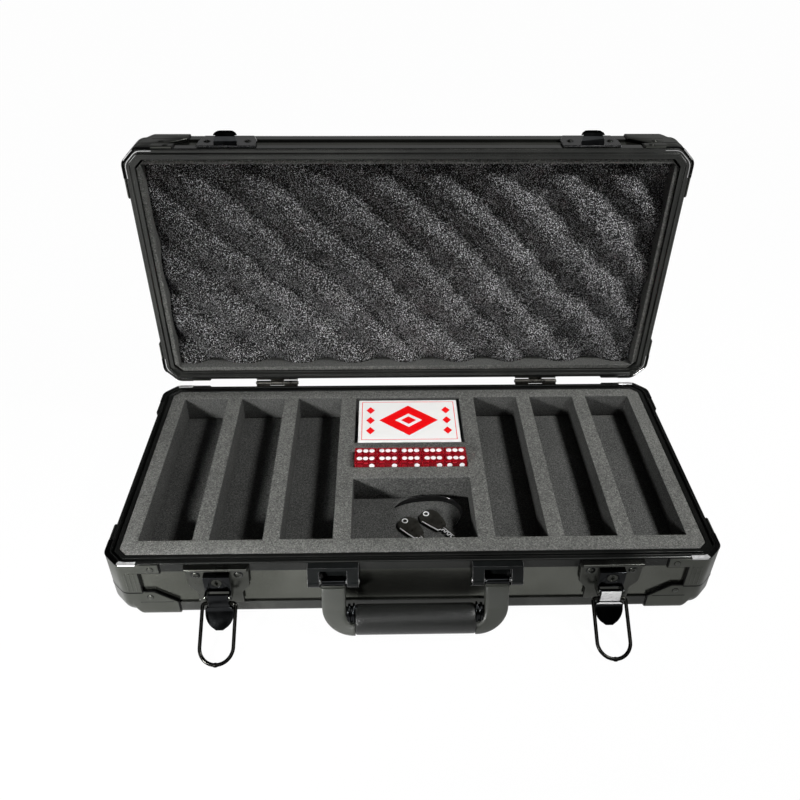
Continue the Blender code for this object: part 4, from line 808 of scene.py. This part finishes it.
for operation, weight in (("ADD", 0.31), ("SUBTRACT", 0.19)):
    turns = number(tree, "DIVIDE", number(tree, operation, strayed, apart["Y"]), given["Pitch"])
    ripple = number(tree, "COSINE", number(tree, "MULTIPLY", turns, 2 * math.pi))
    crossed_waves = number(tree, "MULTIPLY_ADD", ripple, weight, crossed_waves)
hollow = number(tree, "POWER", number(tree, "SUBTRACT", 0.5, crossed_waves), 1.6)
torn = number(tree, "MULTIPLY_ADD", noise(tree, where, 260.0, 2.0), 0.0016, -0.0009)
rise = number(tree, "MULTIPLY_ADD", number(tree, "SUBTRACT", 1.0, hollow), given["Relief"], torn)
feeds = {"A": apart["Z"], "B": 0.001}
above = add(tree, "FunctionNodeCompare", feeds, data_type="FLOAT", operation="GREATER_THAN")
feeds = {
    "Geometry": closed.outputs["Geometry"], "Selection": above.outputs["Result"],
    "Offset": triple(tree, 0.0, 0.0, rise),
}
ended(tree, add(tree, "GeometryNodeSetPosition", feeds).outputs["Geometry"], given["Finish"])

crate_low, crate_high = (Vector(corner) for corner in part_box("egg_crate_foam"))
crate_size = crate_high - crate_low
crate_values = {
    "Length": crate_size.x,
    "Width": crate_size.z,
    "Back": crate_size.y - CRATE_RELIEF,
    "Finish": crate_cells,
}
crate = grown("egg_crate_sheet", tree, crate_values, bpy.data.meshes.new("crate_seed"))
crate_middle = (crate_low + crate_high) / 2
crate_place = Matrix.Translation((crate_middle.x, crate_high.y, crate_middle.z))
crate.data.transform(crate_place @ Matrix.Rotation(math.radians(90), 4, "X"))
padded_piece(crate, "egg_crate_foam", "lid")

# Hinges at the back: plain plated leaves with rolled knuckles on a drawn steel pin, each
# held by small screws.
plated_tones = ((0.3, (0.05, 0.048, 0.043)), (0.7, (0.12, 0.115, 0.102)))
plated = clouded("hinge_steel", (120.0, 4.0, 0.6), plated_tones, (0.22, 0.42, 0.3, 0.7), METAL)
drawn_steel = clouded(
    "pin_steel", (1.0, 2.0), ((0.3, 0.2), (0.7, 0.36)), (0.22, 0.4), METAL, along=(2000, 60, 60)
)
for side in ("left", "right"):
    keep_node("hinge_base_leaf_" + side, plated, 0.0002)
    keep_node("hinge_lid_leaf_" + side, plated, 0.0002)
    for pin in ("hinge_pin_", "lever_pin_", "handle_pin_"):
        keep_node(pin + side, drawn_steel, 0.0002)

# Latch plates: pressed plates with a gun-metal finish, each with a turned top lip, a raised
# black lock housing and two ears for the lever's pin, held by two cross slotted screws.
gunmetal_tones = ((0.3, (0.05, 0.052, 0.046)), (0.7, (0.08, 0.082, 0.074)))
gunmetal = clouded("latch_gunmetal", (55.0, 3.0, 0.55), gunmetal_tones, (0.2, 0.32, 0.3, 0.7), METAL)
nickel_tones = ((0.3, (0.012, 0.013, 0.014)), (0.7, (0.026, 0.027, 0.028)))
black_plate = clouded("black_nickel", (60.0, 4.0, 0.6), nickel_tones, (0.12, 0.22, 0.3, 0.7), METAL)
LATCHES = {"left": -0.1483, "right": 0.1483}
PLATE_FOOT_HALF, PLATE_SHOULDER_HALF, PLATE_TOP_HALF = 0.0162, 0.0222, 0.023
PLATE_STAND = 0.0028
LOCK_HALF, LOCK_HEIGHT, WELL_RADIUS = 0.0098, 0.0437, 0.0042
LEVER_PIVOT = (0.0102, 0.031)
LOOP_PIVOT = (0.0103, 0.024)
PIN_BORE = 0.00135
EAR_INNER, EAR_OUTER, EAR_RADIUS = 0.0083, 0.01, 0.0031


def circle(radius, sides):
    """Points round a circle."""
    turns = [2 * math.pi * step / sides for step in range(sides)]
    return [(radius * math.cos(turn_by), radius * math.sin(turn_by)) for turn_by in turns]


def arc_points(centre, radius, start, end, steps):
    """Points on an arc in a plane."""
    angles = [math.radians(start + (end - start) * step / steps) for step in range(steps + 1)]
    return [(centre[0] + radius * math.cos(angle), centre[1] + radius * math.sin(angle)) for angle in angles]


def side_profile(outline, x_from, x_to):
    """A solid from a side view of (stand, height) points, across from one x to another."""
    return lofted([[(x, -stand, z) for stand, z in outline] for x in (x_from, x_to)])


def cross_rod(centre, radius, half):
    """A round bar across the case at a (stand, height) place."""
    return side_profile([(centre[0] + out, centre[1] + up) for out, up in circle(radius, 24)], -half, half)


def bored(bm, pivot, bore, finish):
    """A part with a pin's bore right through it."""
    piece = new_object("stamping", bm, finish)
    cut(piece, cross_rod(pivot, bore, 0.02))
    return piece


def joined(name, parts, finish):
    """Several finished parts as one piece."""
    whole = bmesh.new()
    for part_piece in parts:
        whole.from_mesh(part_piece.data)
        bpy.data.objects.remove(part_piece)
    piece = new_object(name, whole, finish)
    smoothed(piece, 40)
    return piece


PLATE_WAIST = 0.0255
plate_side = [(PLATE_FOOT_HALF, 0.0158), (PLATE_FOOT_HALF, PLATE_WAIST)]
for step in range(1, 10):
    share = step / 10
    spread = (PLATE_SHOULDER_HALF - PLATE_FOOT_HALF) * (3 * share ** 2 - 2 * share ** 3)
    plate_side.append((PLATE_FOOT_HALF + spread, PLATE_WAIST + 0.01 * share))
plate_side += [(PLATE_SHOULDER_HALF, 0.036), (PLATE_TOP_HALF, 0.0512)]


def plate_row(stand, grow):
    """The plate's outline at one stand, a little larger towards the wall."""
    right = [(x + grow, z - (grow if index == 0 else 0)) for index, (x, z) in enumerate(plate_side)]
    return [(x, -stand, z) for x, z in right] + [(-x, -stand, z) for x, z in reversed(right)]


def latch_plate():
    """One latch plate about its own middle, with its lip, housing and ears."""
    sheet_rows = [plate_row(0.0003, 0.0012), plate_row(0.0019, 0.0007), plate_row(PLATE_STAND, 0.0)]
    lip = [
        (0.0003, 0.0502), (0.0027, 0.0502), (0.0054, 0.0532), (0.0058, 0.054),
        (0.0058, 0.0553), (0.0052, 0.0558), (0.0003, 0.0558),
    ]
    lip_rows = []
    for x, share in ((-0.0242, 0.35), (-0.0229, 1.0), (0.0229, 1.0), (0.0242, 0.35)):
        lip_rows.append([(x, -(0.0003 + (stand - 0.0003) * share), z) for stand, z in lip])
    parts = []
    for rows in (sheet_rows, lip_rows):
        parts.append(rounded(new_object("stamping", lofted(rows), gunmetal), 0.0004, 3, 25))
    housing = [(0.0018, 0.0338), (0.0077, 0.0338), (0.008, 0.0344), (0.008, 0.0498), (0.0018, 0.05)]
    block = new_object("stamping", side_profile(housing, -LOCK_HALF, LOCK_HALF), gunmetal)
    well = circle(WELL_RADIUS, 32)
    cut(block, lofted([[(x, -stand, LOCK_HEIGHT + z) for x, z in well] for stand in (0.0036, 0.0095)]))
    parts.append(rounded(block, 0.0006, 3, 25))
    ear = [(0.0018, 0.0356)] + arc_points(LEVER_PIVOT, EAR_RADIUS, 90, -90, 12) + [(0.0018, 0.0264)]
    for start, end in ((-EAR_OUTER, -EAR_INNER), (EAR_INNER, EAR_OUTER)):
        parts.append(rounded(bored(side_profile(ear, start, end), LEVER_PIVOT, PIN_BORE, gunmetal), 0.0003))
    plate = joined("latch_plate", parts, gunmetal)

    def on_housing(at, normal):
        return abs(at.x) < LOCK_HALF + 0.0001 and 0.0336 < at.z < 0.0502 and at.y < -PLATE_STAND - 0.0001

    repainted(plate, black_plate, on_housing)
    return plate


for side, centre in LATCHES.items():
    plate = latch_plate()
    plate.name = "pressed_latch_plate_" + side
    plate.data.transform(Matrix.Translation((centre, CASE_FRONT, 0)))
    fitted(plate, "base", "latch_plate_" + side)
    keep_node("lock_barrel_" + side, gunmetal, 0.0002)
    spots = []
    for across in (-0.016, 0.016):
        spots.append((Vector((centre + across, CASE_FRONT - PLATE_STAND, 0.0472)), (0, -1, 0)))
    heads("latch_screws_" + side, spots, 0.0029, 0.0012, 1.0, gunmetal, "base")
    # Black rings under the screw heads are painted shade round them.
    heads("latch_shade_rings_" + side, spots, 0.0036, 0.0003, 0.0, black_plate, "base")

# Lid catches: black plates with a rounded hook that the loop's end passes over. Handle
# brackets: gloss black shelves with two lugs, and a pin whose round heads show. The bevels on
# the catches' and brackets' edges take a lighter finish: painted highlight lines.
gloss_tones = ((0.3, (0.004, 0.0045, 0.0045)), (0.7, (0.008, 0.009, 0.009)))
gloss_black = clouded(
    "bracket_gloss_black", (70.0, 4.0, 0.6), gloss_tones, (0.12, 0.24, 0.3, 0.7),
    {"Specular IOR Level": 0.12}, peel=(1500.0, 0.00003, 0.4),
)
# A lighter finish for bevelled edges: painted highlight.
painted_edge_highlight = clouded(
    "black_edge_painted_highlight", (420.0, 3.0, 0.6), ((0.35, 0.1), (0.7, 0.45)), (0.2, 0.4), {"Metallic": 0.7}
)
HANDLE_PIVOT = (0.007, 0.0427)
BRACKET_OFFSET = 0.0615
for side, centre in LATCHES.items():
    keep_node("lid_catch_" + side, black_plate, 0.0004, 2, painted_edge_highlight)
    spots = []
    for across in (-0.0165, 0.0165):
        spot = Vector((centre + across, CASE_FRONT - 0.002, 0.07))
        spots.append((LID_OPEN @ spot, LID_OPEN.to_3x3() @ Vector((0, -1, 0))))
    heads("catch_screws_" + side, spots, 0.0026, 0.001, 1.0, gunmetal, "lid")
    # Black rings under the screw heads are painted shade round them.
    heads("catch_shade_rings_" + side, spots, 0.0031, 0.0003, 0.0, black_plate, "lid")
    keep_node("handle_bracket_" + side, gloss_black, 0.0005, 2, painted_edge_highlight)
    middle = math.copysign(BRACKET_OFFSET, centre)
    spots = []
    for across, facing_x in ((-0.019, -1), (-0.0103, 1), (0.0103, -1), (0.019, 1)):
        spot = Vector((middle + across, CASE_FRONT - HANDLE_PIVOT[0], HANDLE_PIVOT[1]))
        spots.append((spot, (facing_x, 0, 0)))
    heads("bracket_pin_heads_" + side, spots, 0.002, 0.0008, 0.0, drawn_steel, "base")

# Draw levers: black nickelled plates with turned sides, rolled round their pin and round the
# loop's ends, and spread at the foot to a round thumb lip. The right one's flat and bend carry a
# painted highlight in a bright finish.
painted_highlight_steel = clouded(
    "painted_highlight_steel", (380.0, 4.0, 0.7), ((0.34, 0.55), (0.46, 0.92), (0.7, 0.98)), (0.1, 0.26),
    {"Metallic": 0.4}, along=(1, 1, 2),
)
LEVER_HALF = 0.008
LIP_DROP, LIP_OUT, LIP_HALF = 0.0146, 0.01, 0.0107
SHEET = 0.0013
SHEET_EDGE = 0.0005
KNUCKLE_HALF = 0.0079


def lever_stations():
    """Down the lever's face: its stand and height, half width and how deep its sides turn in."""
    stations = [
        (0.0116, 0.0353, 0.0076, 0.0014), (0.0124, 0.034, LEVER_HALF, 0.0026),
        (0.0127, 0.0325, LEVER_HALF, 0.003), (0.0129, 0.0238, LEVER_HALF, 0.003),
    ]
    for step in range(19):
        share = step / 18
        spread = min(1.0, share / 0.16)
        half = LEVER_HALF + (LIP_HALF - LEVER_HALF) * spread * (2 - spread)
        if share > 0.35:
            half = LIP_HALF * math.sqrt(max(0.07, 1 - ((share - 0.35) / 0.65) ** 2))
        turned_in = 0.0014 + 0.0016 * max(0.0, 1 - share * 2.2)
        stations.append((0.0131 + LIP_OUT * share ** 1.5, 0.0226 - LIP_DROP * share, half, turned_in))
    return stations


def way_at(places, index):
    """The way along a line of flat points at one of them, from the one before to the next."""
    before = Vector(places[max(0, index - 1)][:2])
    after = Vector(places[min(len(places) - 1, index + 1)][:2])
    return (after - before).normalized()


def draw_lever(name, painted_highlight):
    """One lever about its own middle."""
    stations = lever_stations()
    rows = []
    for index, (stand, z, half, deep) in enumerate(stations):
        along = way_at(stations, index)
        right = [(half - SHEET_EDGE, 0), (half, -SHEET_EDGE), (half, -deep)]
        right += [(half - SHEET, -deep), (half - SHEET, -SHEET)]
        section = right + [(-x, rise) for x, rise in reversed(right)]
        rows.append([(x, -(stand - along.y * rise), z + along.x * rise) for x, rise in section])
    plate = new_object("stamping", lofted(rows), black_plate)
    smoothed(plate, 30)
    parts = [plate]
    for pivot, radius, bore in ((LEVER_PIVOT, 0.0023, PIN_BORE), (LOOP_PIVOT, 0.0025, 0.0017)):
        knuckle = bored(cross_rod(pivot, radius, KNUCKLE_HALF), pivot, bore, black_plate)
        parts.append(rounded(knuckle, 0.0002, 2, 50))
    lever = joined(name, parts, black_plate)

    def on_front(at, normal):
        on_flat = 0.0238 < at.z < 0.034 and -0.0131 < at.y < -0.012
        on_bend = 0.0206 < at.z < 0.0226 and at.y < -0.0129
        return normal.y < -0.7 and abs(normal.x) < 0.3 and (on_flat or on_bend)

    # The right lever's front flat and bend get the bright finish: a painted highlight.
    if painted_highlight:
        repainted(lever, painted_highlight_steel, on_front)
    return lever


for side, centre in LATCHES.items():
    lever = draw_lever("black_lever_" + side, side == "right")
    lever.data.transform(Matrix.Translation((centre, CASE_FRONT, 0)))
    fitted(lever, "lever_" + side, "draw_lever_" + side)

# Wire loops: round black wire bent to a long loop, with the butt weld at its round end.
wire_black = clouded(
    "wire_black", (90.0, 3.0, 0.6), ((0.3, (0.01, 0.01, 0.009)), (0.7, (0.02, 0.02, 0.018))),
    (0.16, 0.26, 0.3, 0.7), {"Metallic": 1.0, "Specular Tint": (0.12, 0.12, 0.11, 1)},
)


def tube(name, route, radius, finish, sides=16):
    """A round bar along a route of points."""
    rows = []
    for here, back, on in path_ways(route):
        along = (back + on).normalized()
        side_way = along.cross(Vector((0, 0, 1)))
        if side_way.length < 0.1:
            side_way = along.cross(Vector((0, 1, 0)))
        side_way.normalize()
        up_way = side_way.cross(along)
        rows.append([here + side_way * out + up_way * up for out, up in circle(radius, sides)])
    piece = new_object(name, lofted(rows), finish)
    smoothed(piece, 50)
    return piece


WIRE_RADIUS = 0.0014
WELD_RADIUS = 0.0018
WIRE_BEND = 0.0024
WIRE_END = 0.0055
LOOP_HALF = 0.0125
LOOP_LENGTH = 0.0444
LOOP_REST = math.asin(0.0239 / LOOP_LENGTH)
half_route = [(LOOP_HALF - WIRE_END, 0.0)]
half_route += arc_points((LOOP_HALF - WIRE_BEND, WIRE_BEND), WIRE_BEND, -90, 0, 8)
half_route += arc_points((0.0, LOOP_LENGTH - LOOP_HALF), LOOP_HALF, 0, 90, 24)
whole_route = half_route + [(-x, reach) for x, reach in reversed(half_route[:-1])]
wire_route = [(x, -reach, 0.0) for x, reach in whole_route]
for side, centre in LATCHES.items():
    wire = tube("latch_wire_" + side, wire_route, WIRE_RADIUS, wire_black)
    weld_bm = bmesh.new()
    bmesh.ops.create_icosphere(weld_bm, subdivisions=3, radius=WELD_RADIUS)
    weld_place = Matrix.Translation((0, -0.0001 - LOOP_LENGTH, 0)) @ Matrix.Diagonal((1.35, 1, 0.78, 1))
    bmesh.ops.transform(weld_bm, matrix=weld_place, verts=weld_bm.verts)
    weld_bm.from_mesh(wire.data)
    weld_bm.to_mesh(wire.data)
    weld_bm.free()
    smoothed(wire, 50)
    pivot = Matrix.Translation((centre, CASE_FRONT - LOOP_PIVOT[0], LOOP_PIVOT[1]))
    wire.data.transform(pivot @ Matrix.Rotation(LOOP_REST, 4, "X"))
    fitted(wire, "loop_" + side, "wire_loop_" + side)

# Handle: a dark grey moulded frame of two arms that swell and turn in to the grip, black
# knuckles and bushes beside the grip, and a padded grip in black leather cloth.
moulding, tree, shader, place = new_finish("handle_abs", {"Specular IOR Level": 0.6})
fine = noise(tree, place, 1700.0, 1.0)
arm_tones = ((0.3, (0.03, 0.032, 0.027)), (0.72, (0.041, 0.043, 0.037)))
toned(tree, shader, noise(tree, place, 26.0, 3.0, 0.55), arm_tones, fine, (0.34, 0.5))
bumped(tree, shader, fine, 0.00004, 0.5)
leather, tree, shader, place = new_finish("grip_vinyl", {"Roughness": 0.34, "Specular IOR Level": 0.4})
feeds = {"Vector": place, "Scale": 1050.0}
creases = add(tree, "ShaderNodeTexVoronoi", feeds, feature="DISTANCE_TO_EDGE").outputs["Distance"]
toned(tree, shader, creases, ((0.0, 0.006), (0.15, (0.012, 0.013, 0.012))))
bumped(tree, shader, creases, 0.0003, 0.6)

HANDLE_HANG = Matrix.Rotation(math.radians(-16.4), 4, "X")
HANDLE_PLACE = Matrix.Translation((0, CASE_FRONT - HANDLE_PIVOT[0], HANDLE_PIVOT[1])) @ HANDLE_HANG
ARM_INNER, ARM_OUTER = 0.0525, 0.0705
ARM_HALF = 0.0045
ARM_SQUARE, ELBOW_SQUARE = 0.3, 0.72
HANDLE_DROP = 0.0336
GRIP_RADIUS = 0.0115
ELBOW_RADIUS = 0.023
GRIP_HALF = 0.0455
BUSH_LIFT, BUSH_SHARE = 0.003, 0.55
WEB_HALF, WEB_DROP = 0.0022, 0.009


def arm_row(inner, outer, half, squareness, sign):
    """A rounded oblong between an inner and an outer point of the handle's front view."""
    row = []
    for step in range(40):
        turn_by = 2 * math.pi * (step + 0.5) / 40
        along = math.copysign(abs(math.cos(turn_by)) ** squareness, math.cos(turn_by))
        across = math.copysign(abs(math.sin(turn_by)) ** squareness, math.sin(turn_by))
        x = (inner[0] + outer[0]) / 2 + (outer[0] - inner[0]) / 2 * along
        z = (inner[1] + outer[1]) / 2 + (outer[1] - inner[1]) / 2 * along
        row.append((sign * x, half * across, z))
    return row


def turned_bar(stations, sides, height=0.0, flat=1.0, sign=1):
    """A round bar along the case through (x, radius) stations, made thinner by flat."""
    rows = []
    for x, radius in stations:
        rows.append([(sign * x, flat * y, height + z) for y, z in circle(radius, sides)])
    return lofted(rows)


frame_parts = []
bush_parts = []
for sign in (-1, 1):
    foot = -HANDLE_DROP - GRIP_RADIUS + 0.0004
    bend = (ARM_OUTER - ELBOW_RADIUS, foot + ELBOW_RADIUS)
    rows = []
    for level in (-0.0034, -0.01, bend[1]):
        rows.append(arm_row((ARM_INNER, level), (ARM_OUTER, level), ARM_HALF, ARM_SQUARE, sign))
    for step in range(1, 21):
        share = step / 20
        turn_by = math.pi / 2 * share
        inner = (
            ARM_INNER + (GRIP_HALF + 0.0012 - ARM_INNER) * share ** 2,
            bend[1] * (1 - share) ** 2 - 0.0318 * 2 * share * (1 - share) - 0.0325 * share ** 2,
        )
        outer = (bend[0] + ELBOW_RADIUS * math.cos(turn_by), bend[1] - ELBOW_RADIUS * math.sin(turn_by))
        square = ARM_SQUARE + (ELBOW_SQUARE - ARM_SQUARE) * share
        rows.append(arm_row(inner, outer, ARM_HALF * (1 + share), square, sign))
    rows.append(arm_row((GRIP_HALF, -0.0326), (GRIP_HALF, foot), 2 * ARM_HALF, ELBOW_SQUARE, sign))
    frame_parts.append(lofted(rows))
    low, high = sorted((sign * (ARM_INNER + 0.0004), sign * (ARM_OUTER - 0.0004)))
    web = [(low, -WEB_HALF), (high, -WEB_HALF), (high, WEB_HALF), (low, WEB_HALF)]
    frame_parts.append(prism([(x, y, -WEB_DROP) for x, y in web], (0, 0, WEB_DROP)))
    knuckle = (
        (ARM_INNER, 0.0026), (ARM_INNER + 0.0005, 0.0031), (ARM_OUTER - 0.0005, 0.0031), (ARM_OUTER, 0.0026),
    )
    bush_parts.append(turned_bar(knuckle, 24, sign=sign))
    bush = (
        (0.045, 0.009), (0.0457, 0.009), (0.0459, 0.0112), (0.0473, 0.0112), (0.0475, 0.0088),
        (0.049, 0.0088), (0.0492, 0.0106), (0.051, 0.0106), (0.0512, 0.0084), (0.053, 0.0084),
    )
    bush_parts.append(turned_bar(bush, 32, BUSH_LIFT - HANDLE_DROP, BUSH_SHARE, sign))
core = ((-GRIP_HALF - 0.002, 0.005), (GRIP_HALF + 0.002, 0.005))
frame_parts.append(turned_bar(core, 24, -HANDLE_DROP))
handle_frame = new_object("moulded_handle", merged(frame_parts), moulding)
handle_frame.data.transform(HANDLE_PLACE)
rounded(handle_frame, 0.0003, 2, 50)
fitted(handle_frame, "handle", "handle_frame")
bushes = new_object("grip_bushes", merged(bush_parts), black_plate)
bushes.data.transform(HANDLE_PLACE)
rounded(bushes, 0.0003)
fitted(bushes, "handle")

grip_end = [(0.9, 1.0), (0.975, 0.995), (0.993, 0.975), (1.0, 0.93)]
grip_shares = [(-x, share) for x, share in reversed(grip_end)]
grip_shares += [(-0.5, 1.0), (0.0, 1.0), (0.5, 1.0)] + grip_end
grip_stations = [(x * (GRIP_HALF - 0.0003), GRIP_RADIUS * share) for x, share in grip_shares]
grip = new_object("leather_grip", turned_bar(grip_stations, 64, -HANDLE_DROP), leather)
smoothed(grip, 60)
grip.data.transform(HANDLE_PLACE)
fitted(grip, "handle", "handle_grip")

# Card box: white coated card in clear film, with a red lozenge, a thin border and a column of
# small lozenges at each end of its face.
card_low, card_high = (Vector(corner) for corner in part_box("card_box"))
card_middle = (card_low + card_high) / 2
card_white, tree, shader, place = new_finish(
    "card_box_card",
    {"Roughness": 0.3, "Specular IOR Level": 0.25, "Coat Weight": 0.25, "Coat Roughness": 0.08},
)
split = add(tree, "ShaderNodeSeparateXYZ", {0: place}).outputs
across = number(tree, "SUBTRACT", split["X"], card_middle.x)
along = number(tree, "SUBTRACT", split["Y"], card_middle.y)


def off_line(way, centre=0.0):
    """How far a place on the face is from a line across it."""
    return number(tree, "ABSOLUTE", number(tree, "SUBTRACT", way, centre))


def lozenge(centre_x, centre_y, half_x, half_y):
    """One inside a lozenge and nought outside it."""
    dx = number(tree, "DIVIDE", off_line(across, centre_x), half_x)
    dy = number(tree, "DIVIDE", off_line(along, centre_y), half_y)
    return number(tree, "LESS_THAN", number(tree, "ADD", dx, dy), 1.0)


def framed(half_x, half_y):
    """One inside an oblong about the face's middle and nought outside it."""
    in_x = number(tree, "LESS_THAN", off_line(across), half_x)
    in_y = number(tree, "LESS_THAN", off_line(along), half_y)
    return number(tree, "MULTIPLY", in_x, in_y)


ink = number(tree, "SUBTRACT", lozenge(0.0, 0.0, 0.027, 0.022), lozenge(0.0, 0.0, 0.0125, 0.01))
ink = number(tree, "ADD", ink, lozenge(0.0, 0.0, 0.007, 0.0056))
for end in (-0.035, 0.035):
    for row in (-0.015, 0.0, 0.015):
        ink = number(tree, "ADD", ink, lozenge(end, row, 0.004, 0.0052))
border = number(tree, "SUBTRACT", framed(0.043, 0.028), framed(0.0424, 0.0274))
ink = number(tree, "MINIMUM", number(tree, "ADD", ink, border), 1.0)
on_face = number(tree, "GREATER_THAN", split["Z"], card_high.z - 0.0006)
ink = number(tree, "MULTIPLY", ink, on_face)
feeds = {"Factor": ink, "A": (0.88, 0.875, 0.86, 1), "B": (0.88, 0.002, 0.004, 1)}
printed = add(tree, "ShaderNodeMix", feeds, data_type="RGBA")
tree.links.new(printed.outputs["Result"], shader.inputs["Base Color"])
bumped(tree, shader, noise(tree, stretched(tree, place, (40, 90, 90)), 1.0, 3.0, 0.6), 0.0016, 0.5)
keep_node("card_box", card_white, 0.0003)

# Dice: clear red acrylic cubes with white pips let into their faces, six up.
acrylic_tones = ((0.3, (0.62, 0.01, 0.025)), (0.7, (0.8, 0.02, 0.04)))
acrylic_sockets = {"Roughness": 0.05, "Transmission Weight": 0.75, "IOR": 1.49}
acrylic = clouded("die_acrylic", (140.0,), acrylic_tones, (), acrylic_sockets)
pip_white = clouded("die_pip_white", (600.0,), ((0.3, 0.86), (0.7, 0.93)), (), {"Roughness": 0.4})
PIPS = {
    1: [(0, 0)],
    2: [(-1, -1), (1, 1)],
    3: [(-1, -1), (0, 0), (1, 1)],
    4: [(-1, -1), (-1, 1), (1, -1), (1, 1)],
    5: [(-1, -1), (-1, 1), (0, 0), (1, -1), (1, 1)],
    6: [(-1, -1), (0, -1), (1, -1), (-1, 1), (0, 1), (1, 1)],
}
PIP_ACROSS, PIP_ALONG = 0.0053, 0.005
RIGHT, BACK, UP = Vector((1, 0, 0)), Vector((0, 1, 0)), Vector((0, 0, 1))
for die_number, (front_value, side_value) in enumerate(((2, 3), (3, 2), (2, 4), (3, 5), (4, 2)), start=1):
    die = "die_" + str(die_number)
    keep_node(die, acrylic)
    low, high = (Vector(corner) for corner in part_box(die))
    middle = (low + high) / 2
    half_die = (high.x - low.x) / 2
    faces = (
        (UP, RIGHT, 6), (-UP, RIGHT, 1), (-BACK, RIGHT, front_value), (BACK, RIGHT, 7 - front_value),
        (RIGHT, BACK, side_value), (-RIGHT, BACK, 7 - side_value),
    )
    spots = []
    for facing, right_way, value in faces:
        up_way = UP if facing.y else facing.cross(right_way)
        for u, v in PIPS[value]:
            spot = middle + facing * half_die + right_way * u * PIP_ACROSS + up_way * v * PIP_ALONG
            spots.append((spot, facing))
    heads("die_pips_" + str(die_number), spots, 0.0023, 0.00012, 0.0, pip_white, die)

# Keys: flat nickelled keys with broad heads and a hole. Bright lines round the hole, along the
# head's lower edge, on the cut blade's teeth and down the blade are painted highlights.
key_tones = ((0.35, (0.03, 0.029, 0.024)), (0.7, (0.06, 0.058, 0.05)))
dark_nickel = clouded("key_nickel", (220.0, 4.0, 0.65), key_tones, (0.26, 0.42, 0.3, 0.7), {"Metallic": 0.6})
key_painted_highlight = clouded(
    "key_painted_highlight_lines", (900.0, 2.0, 0.6), ((0.35, 0.72), (0.7, 0.94)), (0.3, 0.45), {"Metallic": 0.25}
)
KEY_FLOOR = 0.0332
KEY_THICKNESS = 0.002
KEYS = {"key_left": ((-0.006, -0.0502), -56.0), "key_right": ((0.0118, -0.0423), -51.0)}
key_teeth = [
    (0.0338, -0.0026), (0.0321, -0.0026), (0.0316, -0.0008), (0.03, -0.0008), (0.0295, -0.0029),
    (0.0281, -0.0029), (0.0275, -0.0006), (0.026, -0.0006), (0.0255, -0.0026), (0.0243, -0.0026),
    (0.0238, -0.0012), (0.0224, -0.0012), (0.022, -0.003), (0.0208, -0.0032), (0.0203, -0.0054),
]
key_head_low = [(0.0203, -0.0054), (0.012, -0.0074), (0.0045, -0.0088)]
key_head = [
    (0.001, -0.008), (-0.002, -0.0054), (-0.0034, -0.002), (-0.0036, 0.0016), (-0.0022, 0.0056),
    (0.0012, 0.0082), (0.005, 0.009), (0.015, 0.0068), (0.0196, 0.0052), (0.0208, 0.0028),
]
key_outline = key_teeth + key_head_low[1:] + key_head + [(0.0334, 0.0028), (0.035, 0.0006)]
ring = circle(0.0022, 32)
highlight_lines = (
    (ring + ring[:1], 0.00042),
    ([(0.0212, 0.0006), (0.0336, 0.0006)], 0.00036),
    ([(u + 0.0002, v + 0.0004) for u, v in key_head_low], 0.00058),
    ([(u, v + 0.0003) for u, v in key_teeth], 0.00046),
)
for key_name, (hole, turn_by) in KEYS.items():
    blank_bm = prism([(u, v, 0.0) for u, v in key_outline], (0, 0, KEY_THICKNESS))
    blank = new_object("stamping", blank_bm, dark_nickel)
    cut(blank, prism([(u, v, -0.001) for u, v in circle(0.0013, 24)], (0, 0, 0.005)))
    rounded(blank, 0.00025)
    seat = Matrix.Translation((*hole, KEY_FLOOR)) @ Matrix.Rotation(math.radians(turn_by), 4, "Z")
    blank.name = "cut_" + key_name
    blank.data.transform(seat)
    fitted(blank, key_name, key_name)
    # Bright tubes laid on the key's top face are painted highlights.
    top = KEY_THICKNESS + 0.00005
    painted_highlights = []
    for line, radius in highlight_lines:
        painted_highlights.append(tube("bevel", [(u, v, top) for u, v in line], radius, key_painted_highlight, 8))
    bevel = joined(key_name + "_bevels", painted_highlights, key_painted_highlight)
    bevel.data.transform(seat)
    fitted(bevel, key_name)

# Strap: a thin gloss black plastic band that stands on edge round the keys. One end tapers to
# a point, and the other curls back towards the front.
strap_black = clouded(
    "strap_plastic", (1.0, 2.0), ((0.3, 0.003), (0.7, 0.007)), (0.12, 0.22), {"Specular IOR Level": 0.28},
    along=(90, 90, 900),
)
strap_route = [
    (-0.015, -0.0338, 0.1), (-0.0105, -0.031, 0.55), (-0.005, -0.0286, 0.85), (0.003, -0.0266, 1.0),
    (0.0118, -0.0256, 1.0), (0.02, -0.0252, 1.0), (0.027, -0.0262, 1.0), (0.0335, -0.029, 1.0),
    (0.038, -0.033, 1.0), (0.0405, -0.038, 1.0), (0.0408, -0.044, 1.0), (0.0392, -0.05, 1.0),
    (0.0362, -0.055, 0.85), (0.033, -0.059, 0.5),
]
STRAP_HIGH = 0.0056
STRAP_HALF = 0.00045
STRAP_LEAN = 3.0
low = KEY_FLOOR + 0.0002
strap_rows = []
for index, (x, y, share) in enumerate(strap_route):
    along = way_at(strap_route, index)
    across = Vector((-along.y, along.x, 0)) * STRAP_HALF
    foot = Vector((x, y, low))
    top = foot + across * STRAP_LEAN * share + UP * STRAP_HIGH * share
    strap_rows.append([foot - across, foot + across, top + across, top - across])
strap = new_object("curled_strap", lofted(strap_rows), strap_black)
strap.modifiers.new("smooth", "SUBSURF").levels = 2
settle(strap)
smoothed(strap, 50)
fitted(strap, "key_strap", "key_strap")
